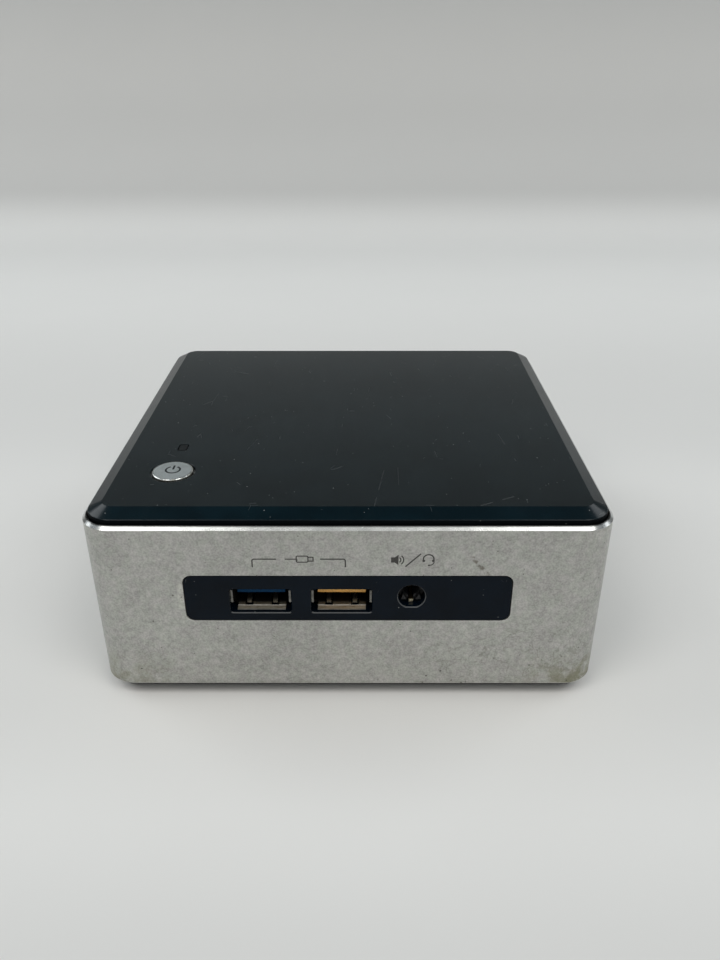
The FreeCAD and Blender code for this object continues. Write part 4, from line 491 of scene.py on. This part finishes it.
MATERIALS = {
    "case_metal": case_metal(),
    "lid_gloss": gloss_black("lid_gloss", (0.0030, 0.0052, 0.0062)),
    "lid_bevel": gloss_black("lid_bevel", (0.0012, 0.0056, 0.0080), ior=1.37, scratch_share=0.4, rough=0.19),
    "lid_side": lid_side(),
    "button_metal": button_metal(),
    "window_gloss": gloss_black("window_gloss", (0.0010, 0.0032, 0.0066), ior=1.2, scratch_share=0.35, dust=0.7),
    "black_plastic": moulded("black_plastic", (0.017, 0.017, 0.018), 0.48),
    "natural_plastic": moulded("natural_plastic", (0.60, 0.57, 0.50), 0.5, dusty=0.05),
    "usb_blue": moulded("usb_blue", (0.002, 0.034, 0.092), 0.6, dusty=0.01, ior=1.2),
    "usb_amber": moulded("usb_amber", (0.66, 0.34, 0.075), 0.4, dusty=0.05),
    "port_steel": port_steel(),
    # painted highlight: the window's cut edges, lighter where they would catch light
    "port_edge_highlight": moulded("port_edge_highlight", (0.050, 0.054, 0.058), 0.4, grain=0.0002, relief=0.004, dusty=0.08),
    # partly a nickel-like finish, partly painted light: brighter than the gold, against the jack's shade
    "pale_contact_painted_light": sheet_metal("pale_contact_painted_light", (0.98, 0.88, 0.66), 0.45, "Y", tarnish=0.05),
    "sheet_steel": sheet_metal("sheet_steel", (0.60, 0.585, 0.55), 0.3, "X"),
    "zinc_steel": sheet_metal("zinc_steel", (0.55, 0.57, 0.58), 0.36, "X", tarnish=0.12),
    "contact_gold": sheet_metal("contact_gold", (0.83, 0.60, 0.25), 0.22, "Y", tarnish=0.1),
    "spring_steel": sheet_metal("spring_steel", (0.50, 0.50, 0.50), 0.25, "Z", tarnish=0.1),
    "clear_light": light_guide(),
    "board_green": circuit_board("board_green"),
    "chip_black": moulded("chip_black", (0.028, 0.028, 0.03), 0.45, grain=0.0002, relief=0.006, dusty=0.05),
    "silicon": sheet_metal("silicon", (0.30, 0.32, 0.38), 0.05, "X", tarnish=0.0),
    "copper": sheet_metal("copper", (0.78, 0.38, 0.22), 0.28, "Y", tarnish=0.3, grime=(0.22, 0.09, 0.05)),
    "fin_metal": sheet_metal("fin_metal", (0.72, 0.73, 0.74), 0.3, "Y", tarnish=0.1),
    "screw_black": sheet_metal("screw_black", (0.05, 0.05, 0.055), 0.35, "Z", tarnish=0.1),
    "screw_steel": sheet_metal("screw_steel", (0.62, 0.61, 0.58), 0.27, "Z", tarnish=0.18),
    "cell_steel": sheet_metal("cell_steel", (0.64, 0.64, 0.62), 0.24, "X", tarnish=0.08),
    "lead_black": rubber("lead_black", (0.018, 0.018, 0.02), dusty=0.1),
    "foot_rubber": rubber("foot_rubber", (0.022, 0.022, 0.022)),
    "drive_metal": sheet_metal("drive_metal", (0.34, 0.35, 0.37), 0.42, "X", tarnish=0.05),
    "cable_grey": moulded("cable_grey", (0.22, 0.23, 0.25), 0.45, dusty=0.05),
    "ink_grey": ink("ink_grey", (0.036, 0.034, 0.031)),
    "ink_dark": ink("ink_dark", (0.012, 0.014, 0.014)),
    "blank_label": paper(),
}
SLOTS = {row["node"]: row["material_slot"] for row in frame["record"]["subparts"]}


def finish_nodes():
    """Gives every carried-over node its material, and some of them a second one on part of their faces."""
    for name, obj in NODES.items():
        obj.data.materials.clear()
        obj.data.materials.append(MATERIALS[SLOTS[name]])
    for name in ("front_usb_shell_left", "front_usb_shell_right"):
        NODES[name].data.materials[0] = MATERIALS["port_steel"]
    # the lid's side below the bevel gets a darker copy of the black, as painted shade of the gap
    second_finish("top_lid", "lid_side", lambda face: face.center.z < LID_SIDE_TOP)
    second_finish("top_lid", "lid_bevel",
                  lambda face: face.center.z > LID_SIDE_TOP and 0.3 < face.normal.z < 0.97)
    # the window's cut edges get their painted highlight
    second_finish("front_bezel", "port_edge_highlight", edge_painted_highlight)
    # the headset jack's front contact gets the paler copy, brightened as painted light
    second_finish("port_contacts", "pale_contact_painted_light",
                  lambda face: face.center.y < FRONT_Y + 4 * MM and abs(face.center.x - JACK_X) < MM)


def second_finish(name, material, chosen):
    """Gives the chosen faces of a carried-over node one more material."""
    mesh = NODES[name].data
    mesh.materials.append(MATERIALS[material])
    for face in mesh.polygons:
        if chosen(face):
            face.material_index = len(mesh.materials) - 1


def edge_painted_highlight(face):
    """The front window's slanted edges lightened as painted highlight: the upward ones under the USB ports, and
    all round the headset jack.
    """
    if not 0.4 < -face.normal.y < 0.9:
        return False
    if abs(face.center.x - JACK_X) < JACK_REACH:
        return abs(face.center.z - JACK_Z) < JACK_REACH
    return face.normal.z > 0.5 and abs(face.center.x) < 28 * MM and face.center.z < BEZEL_AT.z


# ---------------------------------------------------------------- new pieces
def piece(name, mesh_maker, material, body):
    """A new object from a bmesh, in the row frame. It rides on a body, or on none."""
    mesh = bpy.data.meshes.new(name)
    bm = bmesh.new()
    mesh_maker(bm)
    bmesh.ops.recalc_face_normals(bm, faces=bm.faces)
    bm.to_mesh(mesh)
    bm.free()
    mesh.materials.append(MATERIALS[material])
    obj = bpy.data.objects.new(name, mesh)
    bpy.context.scene.collection.objects.link(obj)
    if body:
        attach(obj, body)
    return obj


def smooth(obj):
    """Smooth shading on the four-sided faces, so that flat end caps stay flat."""
    for face in obj.data.polygons:
        face.use_smooth = len(face.vertices) == 4


def front(u, v, lift):
    """A place on the case's front, lifted off it."""
    return Vector((u, FRONT_Y - lift, v))


def over(level):
    """Places on a level face that looks up."""
    return lambda u, v, lift: Vector((u, v, level + lift))


def under(level):
    """Places on a level face that looks down."""
    return lambda u, v, lift: Vector((u, v, level - lift))


def sweep(bm, rows, closed=False):
    """Joins rows of vertices, each one a closed section, into one solid: a closed loop, or with two end caps."""
    for a, b in zip(rows, rows[1:] + rows[:1] if closed else rows[1:]):
        for i in range(len(a)):
            j = (i + 1) % len(a)
            bm.faces.new((a[i], a[j], b[j], b[i]))
    if not closed:
        bm.faces.new(rows[0][::-1])
        bm.faces.new(rows[-1])


def plate(bm, outline, place, lift0=-PRINT_T, lift1=PRINT_T):
    """A flat closed shape between two lifts off a surface. outline is points in millimetres."""
    sweep(bm, [[bm.verts.new(place(u * MM, v * MM, lift)) for u, v in outline] for lift in (lift0, lift1)])


def ribbon(bm, path, width, place, closed=False):
    """A printed line of constant width along a path in millimetres."""
    n = len(path)
    rows = []
    for i, (u, v) in enumerate(path):
        back = path[i - 1] if (i or closed) else path[i]
        ahead = path[(i + 1) % n] if (i + 1 < n or closed) else path[i]
        runs = [(b[0] - a[0], b[1] - a[1]) for a, b in ((back, (u, v)), ((u, v), ahead))]
        sized = [(du, dv, math.hypot(du, dv)) for du, dv in runs]
        units = [(du / size, dv / size) for du, dv, size in sized if size > 1e-9]
        tu, tv = sum(a for a, _ in units), sum(b for _, b in units)
        size = math.hypot(tu, tv)
        tu, tv = tu / size, tv / size
        reach = width / 2 / max(0.35, abs(tu * units[0][0] + tv * units[0][1]))  # longer at a corner
        corners = ((reach, -PRINT_T), (-reach, -PRINT_T), (-reach, PRINT_T), (reach, PRINT_T))
        rows.append([bm.verts.new(place((u - tv * off) * MM, (v + tu * off) * MM, lift)) for off, lift in corners])
    sweep(bm, rows, closed)


def arc(cu, cv, r, a0, a1, steps=24):
    """Points on an arc, in millimetres and degrees."""
    turns = [math.radians(a0 + (a1 - a0) * i / steps) for i in range(steps + 1)]
    return [(cu + r * math.cos(t), cv + r * math.sin(t)) for t in turns]


def rounded(w, h, r, cu=0.0, cv=0.0, steps=6):
    """A rounded rectangle's outline, in millimetres."""
    points = []
    for su, sv, start in ((1, 1, 0), (-1, 1, 90), (-1, -1, 180), (1, -1, 270)):
        points += arc(cu + su * (w / 2 - r), cv + sv * (h / 2 - r), r, start, start + 90, steps)
    return points


LINE_W, PLUG_LINE_W = 0.30, 0.26  # millimetres
MARK_Z = SHELL_HI.z / MM - 7.9  # the height of the marks' middle on the front, in millimetres


def front_marks():
    """The bracket over the USB ports with a plain plug outline, and the loudspeaker and headset pictograms."""
    def line(bm, path, width=LINE_W, closed=False):
        ribbon(bm, path, width, front, closed)

    def brackets(bm):
        top, tick, r = MARK_Z + 0.05, 2.05, 0.45
        left, right = -20.45, -0.47
        line(bm, [(left, top - tick)] + arc(left + r, top - r, r, 180, 90, 6) + [(-15.25, top)])
        line(bm, [(-5.85, top)] + arc(right - r, top - r, r, 90, 0, 6) + [(right, top - tick)])

    def plug(bm):
        z = MARK_Z + 0.05
        line(bm, rounded(2.5, 1.55, 0.3, -9.7, z), PLUG_LINE_W, closed=True)
        line(bm, [(-8.45, z + 0.5), (-7.35, z + 0.5), (-7.35, z - 0.5), (-8.45, z - 0.5)], PLUG_LINE_W)
        line(bm, [(-10.98, z), (-13.4, z)], PLUG_LINE_W)

    def speaker(bm):
        x, z = 9.3, MARK_Z - 0.15
        plate(bm, [(x, z - 0.66), (x + 0.8, z - 0.66), (x + 1.6, z - 1.3), (x + 1.6, z + 1.3),
                   (x + 0.8, z + 0.66), (x, z + 0.66)], front)
        for r in (0.75, 1.35):
            line(bm, arc(x + 1.35, z, r, -52, 52, 12), 0.28)

    def slash(bm):
        line(bm, [(12.42, MARK_Z - 1.86), (15.7, MARK_Z + 1.45)])

    def headset(bm):
        x, z = 17.33, MARK_Z + 0.06
        line(bm, arc(x, z, 1.13, -14, 194, 28))
        for side in (-1, 1):
            plate(bm, rounded(0.62, 0.56, 0.25, x + side * 1.02, z - 0.45, 4), front)
        line(bm, arc(x + 0.3, z - 0.65, 0.9, -6, -100, 10), 0.22)
        plate(bm, rounded(0.46, 0.38, 0.17, x + 0.1, z - 1.58, 4), front)

    for name, maker in (("mark_usb_bracket", brackets), ("mark_plug", plug), ("mark_speaker", speaker),
                        ("mark_slash", slash), ("mark_headset", headset)):
        piece(name, maker, "ink_grey", "case")


def power_mark():
    """The power symbol printed on the button."""
    face = over(BUTTON_HI.z)
    u, v = BUTTON_AT.x / MM, BUTTON_AT.y / MM + 0.35

    def maker(bm):
        ribbon(bm, arc(u, v, 1.62, 118, 422, 48), 0.44, face)
        ribbon(bm, [(u, v + 0.15), (u, v + 2.15)], 0.46, face)

    piece("mark_power", maker, "ink_dark", "button")


def base_label():
    """A blank silver label where such a computer has its rating plate."""
    def maker(bm):
        plate(bm, rounded(46.0, 9.0, 1.2), under(COVER_LO.z), lift1=4 * PRINT_T)

    piece("base_label", maker, "blank_label", "base")


CABLE_T, CABLE_BACK_RUN, CABLE_SMALL_R, CABLE_WIDE_R = 0.9, 13.0, 1.9, 1.75  # millimetres
CABLE_WIRES, WIRE_POINTS = 16, 6
RUN_STEPS, TURN_STEPS = 6, 10


def cable_path():
    """The flat cable's folds as (x, z, heading) in millimetres and radians, from the board down to the drive."""
    top_x = CABLE_LO.x / MM + CABLE_T / 2 + CABLE_WIDE_R + CABLE_BACK_RUN + CABLE_SMALL_R
    low_x = CABLE_HI.x / MM - CABLE_T / 2
    drop = (CABLE_HI.z - CABLE_LO.z) / MM - 2 * CABLE_SMALL_R - 2 * CABLE_WIDE_R
    steps = [("run", drop / 2), ("turn", CABLE_SMALL_R, -90), ("run", CABLE_BACK_RUN), ("turn", CABLE_WIDE_R, 180),
             ("run", CABLE_BACK_RUN + low_x - top_x), ("turn", CABLE_SMALL_R, -90), ("run", drop / 2)]
    x, z, heading = top_x, CABLE_HI.z / MM, math.radians(-90)
    path = [(x, z, heading)]
    for kind, size, *turn in steps:
        count = TURN_STEPS if kind == "turn" else RUN_STEPS
        for _ in range(count):
            bend = math.radians(turn[0]) / count if turn else 0.0
            stride = 2 * size * math.sin(abs(bend) / 2) if turn else size / count
            x += stride * math.cos(heading + bend / 2)
            z += stride * math.sin(heading + bend / 2)
            heading += bend
            path.append((x, z, heading))
    return path


def flat_cable():
    """A flat cable of parallel wires, laid in its folds."""
    pitch = (CABLE_HI.y - CABLE_LO.y) / MM / CABLE_WIRES
    upper = []
    for wire in range(CABLE_WIRES):
        for point in range(WIRE_POINTS):
            share = (point + 0.5) / WIRE_POINTS
            bulge = 0.22 + 0.25 * math.sin(math.pi * share)
            upper.append((CABLE_LO.y / MM + pitch * (wire + share), CABLE_T * bulge))
    section = upper + [(y, -h) for y, h in upper[::-1]]

    def maker(bm):
        rows = []
        for x, z, heading in cable_path():
            dx, dz = -math.sin(heading), math.cos(heading)
            rows.append([bm.verts.new(Vector((x + h * dx, y, z + h * dz)) * MM) for y, h in section])
        sweep(bm, rows)

    cable = piece("flat_cable", maker, "cable_grey", None)
    smooth(cable)
    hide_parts("drive_cable")
    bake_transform(cable)


def coil_spring():
    """The button's return spring, squeezed between the guide's floor and the button's flange."""
    coil_r, wire_r = 3.6, 0.2
    turns, steps, sides = 4, 36, 10
    low, high = SPRING_LO.z / MM + wire_r, SPRING_HI.z / MM - wire_r

    def maker(bm):
        rows = []
        for i in range(turns * steps + 1):
            angle = 2 * math.pi * i / steps
            rise = low + (high - low) * i / (turns * steps)
            ring = []
            for k in range(sides):
                turn = 2 * math.pi * k / sides
                r = coil_r + wire_r * math.cos(turn)
                ring.append(bm.verts.new(Vector((BUTTON_AT.x / MM + r * math.cos(angle),
                                                 BUTTON_AT.y / MM + r * math.sin(angle),
                                                 rise + wire_r * math.sin(turn))) * MM))
            rows.append(ring)
        sweep(bm, rows)

    spring = piece("coil_spring", maker, "spring_steel", None)
    smooth(spring)
    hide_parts("button_spring")
    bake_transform(spring)


# ---------------------------------------------------------------- stage, light and camera
SHEET_HALF, WALL_Y, BEND_R, WALL_H = 3.0, 0.45, 0.35, 0.5  # metres; the sheet curves up from WALL_Y
BEND_STEPS = 24
# painted light and shade on the sheet over a range of depth or height: from, to, share before, share after
SHEET_PAINTED_LIGHT_BY_DEPTH = ((-0.125, -0.085, 0.91, 1.03), (0.03, 0.10, 1.0, 0.935), (0.12, 0.30, 1.0, 1.12),
                  (0.33, 0.44, 1.0, 0.955))
SHEET_PAINTED_SHADE_BY_HEIGHT = ((0.0, 0.026, 1.0, 0.72), (0.03, 0.09, 1.0, 0.93), (0.10, 0.24, 1.0, 0.85),
                   (0.20, 0.36, 1.0, 0.62), (0.34, 0.60, 1.0, 0.72))


def sheet_paper():
    """Pale paper with painted light and shade: darker as it rises and to the sides, and lighter or darker over its
    depth.
    """
    s = Shader("stage_sheet", (0.80, 0.80, 0.785), 0.75, IOR=1.4)
    y, z = s.along("Y"), s.along("Z")
    side = s.both(s.span(z, 0.01, 0.09), s.span(s.math("ABSOLUTE", s.along("X")), 0.36, 0.70))
    # the sheet's painted light and shade
    tone = s.both(*(s.span(y, *row) for row in SHEET_PAINTED_LIGHT_BY_DEPTH), *(s.span(z, *row) for row in SHEET_PAINTED_SHADE_BY_HEIGHT),
                  s.span(side, 0.0, 1.0, 1.0, 0.38), s.span(s.noise(0.05, detail=3.0), 0.3, 0.7, 0.996, 1.002))
    color = s.mix(s.span(z, 0.12, 0.5), (0.805, 0.795, 0.775), (0.72, 0.82, 0.86))
    s.put("Base Color", s.scaled(color, tone))
    return s.material


def stage():
    """A pale sheet that lies flat and curves up behind the object."""
    mesh = bpy.data.meshes.new("stage_sheet")
    bm = bmesh.new()
    bends = [math.radians(90 * i / BEND_STEPS) for i in range(1, BEND_STEPS + 1)]
    profile = [(-SHEET_HALF, 0.0), (0.0, 0.0), (WALL_Y, 0.0)]
    profile += [(WALL_Y + BEND_R * math.sin(t), BEND_R * (1 - math.cos(t))) for t in bends]
    profile.append((WALL_Y + BEND_R, BEND_R + WALL_H))
    left, right = [[bm.verts.new((x, y, z)) for y, z in profile] for x in (-SHEET_HALF, SHEET_HALF)]
    for i in range(len(profile) - 1):
        bm.faces.new((left[i], right[i], right[i + 1], left[i + 1]))
    bm.to_mesh(mesh)
    bm.free()
    for face in mesh.polygons:
        face.use_smooth = True
    mesh.materials.append(sheet_paper())
    sheet = bpy.data.objects.new("stage_sheet", mesh)
    bpy.context.scene.collection.objects.link(sheet)


def area_light(name, place, size, power, color):
    """A rectangular lamp that looks at the frame's origin."""
    data = bpy.data.lights.new(name, "AREA")
    data.shape = "RECTANGLE"
    data.size, data.size_y = size
    data.energy = power
    data.color = color
    lamp = bpy.data.objects.new(name, data)
    lamp.location = place
    lamp.rotation_mode = "QUATERNION"
    lamp.rotation_quaternion = (-Vector(place)).to_track_quat("-Z", "Y")
    bpy.context.scene.collection.objects.link(lamp)


# the surroundings' colour by height, from below the horizon at -0.2 to straight up at 1
SKY = ((-0.2, (0.52, 0.52, 0.51)), (0.0, (0.44, 0.445, 0.44)), (0.22, (0.34, 0.35, 0.35)),
       (0.34, (0.26, 0.275, 0.28)), (0.52, (0.23, 0.25, 0.26)), (0.85, (0.17, 0.21, 0.24)),
       (1.0, (0.06, 0.12, 0.17)))
FRONT_PALE = (0.50, 0.51, 0.50)
FRONT_PALE_FROM, FRONT_PALE_FULL = -0.12, -0.50


def surroundings():
    """A studio's dim walls and dark bluish ceiling, and a paler side in front of the object."""
    world = bpy.data.worlds.new("studio")
    world.use_nodes = True
    g = Graph(world.node_tree)
    way = g.node("TexCoord").outputs["Generated"]
    lowest, highest = SKY[0][0], SKY[-1][0]
    height = g.node("MapRange", {"Value": g.axis("Z", way), "From Min": lowest, "From Max": highest})
    ramp = g.node("ValToRGB", {"Fac": height.outputs["Result"]})
    stops = ramp.color_ramp.elements
    while len(stops) < len(SKY):
        stops.new(0.5)
    for stop, (level, color) in zip(stops, SKY):
        stop.position = (level - lowest) / (highest - lowest)
        stop.color = (*color, 1)
    front_share = g.span(g.axis("Y", way), FRONT_PALE_FROM, FRONT_PALE_FULL)
    g.feed(g.tree.nodes["Background"].inputs["Color"], g.mix(front_share, ramp.outputs["Color"], FRONT_PALE))
    bpy.context.scene.world = world


WARM, COOL = (1.0, 0.98, 0.95), (0.94, 0.975, 1.0)


def lights():
    """Two warm lamps high in front, and two cooler ones at the sides, a little behind."""
    bpy.context.scene.view_settings.view_transform = "Standard"
    surroundings()
    area_light("key_left", (-0.50, -0.50, 1.08), (0.5, 0.7), 3.9, WARM)
    area_light("key_right", (0.47, -0.52, 1.08), (0.5, 0.7), 3.7, WARM)
    area_light("side_left", (-1.12, 0.42, 0.85), (0.8, 0.8), 4.4, COOL)
    area_light("side_right", (1.12, 0.42, 0.85), (0.8, 0.8), 3.7, COOL)


LENS, SENSOR_W = 30.24, 36.0  # millimetres
CAMERA_AT = (3.16 * MM, -199.94 * MM, 133.46 * MM)
LOOK_DOWN, ROLL, LOOK_LEFT = 27.77, 0.08, 0.14  # degrees


def camera():
    """Looks down on the front from close by, a little to the right of the middle."""
    data = bpy.data.cameras.new("camera")
    data.lens = LENS
    data.sensor_width = SENSOR_W
    data.clip_start = 0.01
    cam = bpy.data.objects.new("camera", data)
    cam.location = CAMERA_AT
    cam.rotation_euler = (math.radians(90 - LOOK_DOWN), math.radians(ROLL), math.radians(LOOK_LEFT))
    bpy.context.scene.collection.objects.link(cam)
    bpy.context.scene.camera = cam


camera()
stage()
lights()
finish_nodes()
front_marks()
power_mark()
base_label()
flat_cable()
coil_spring()
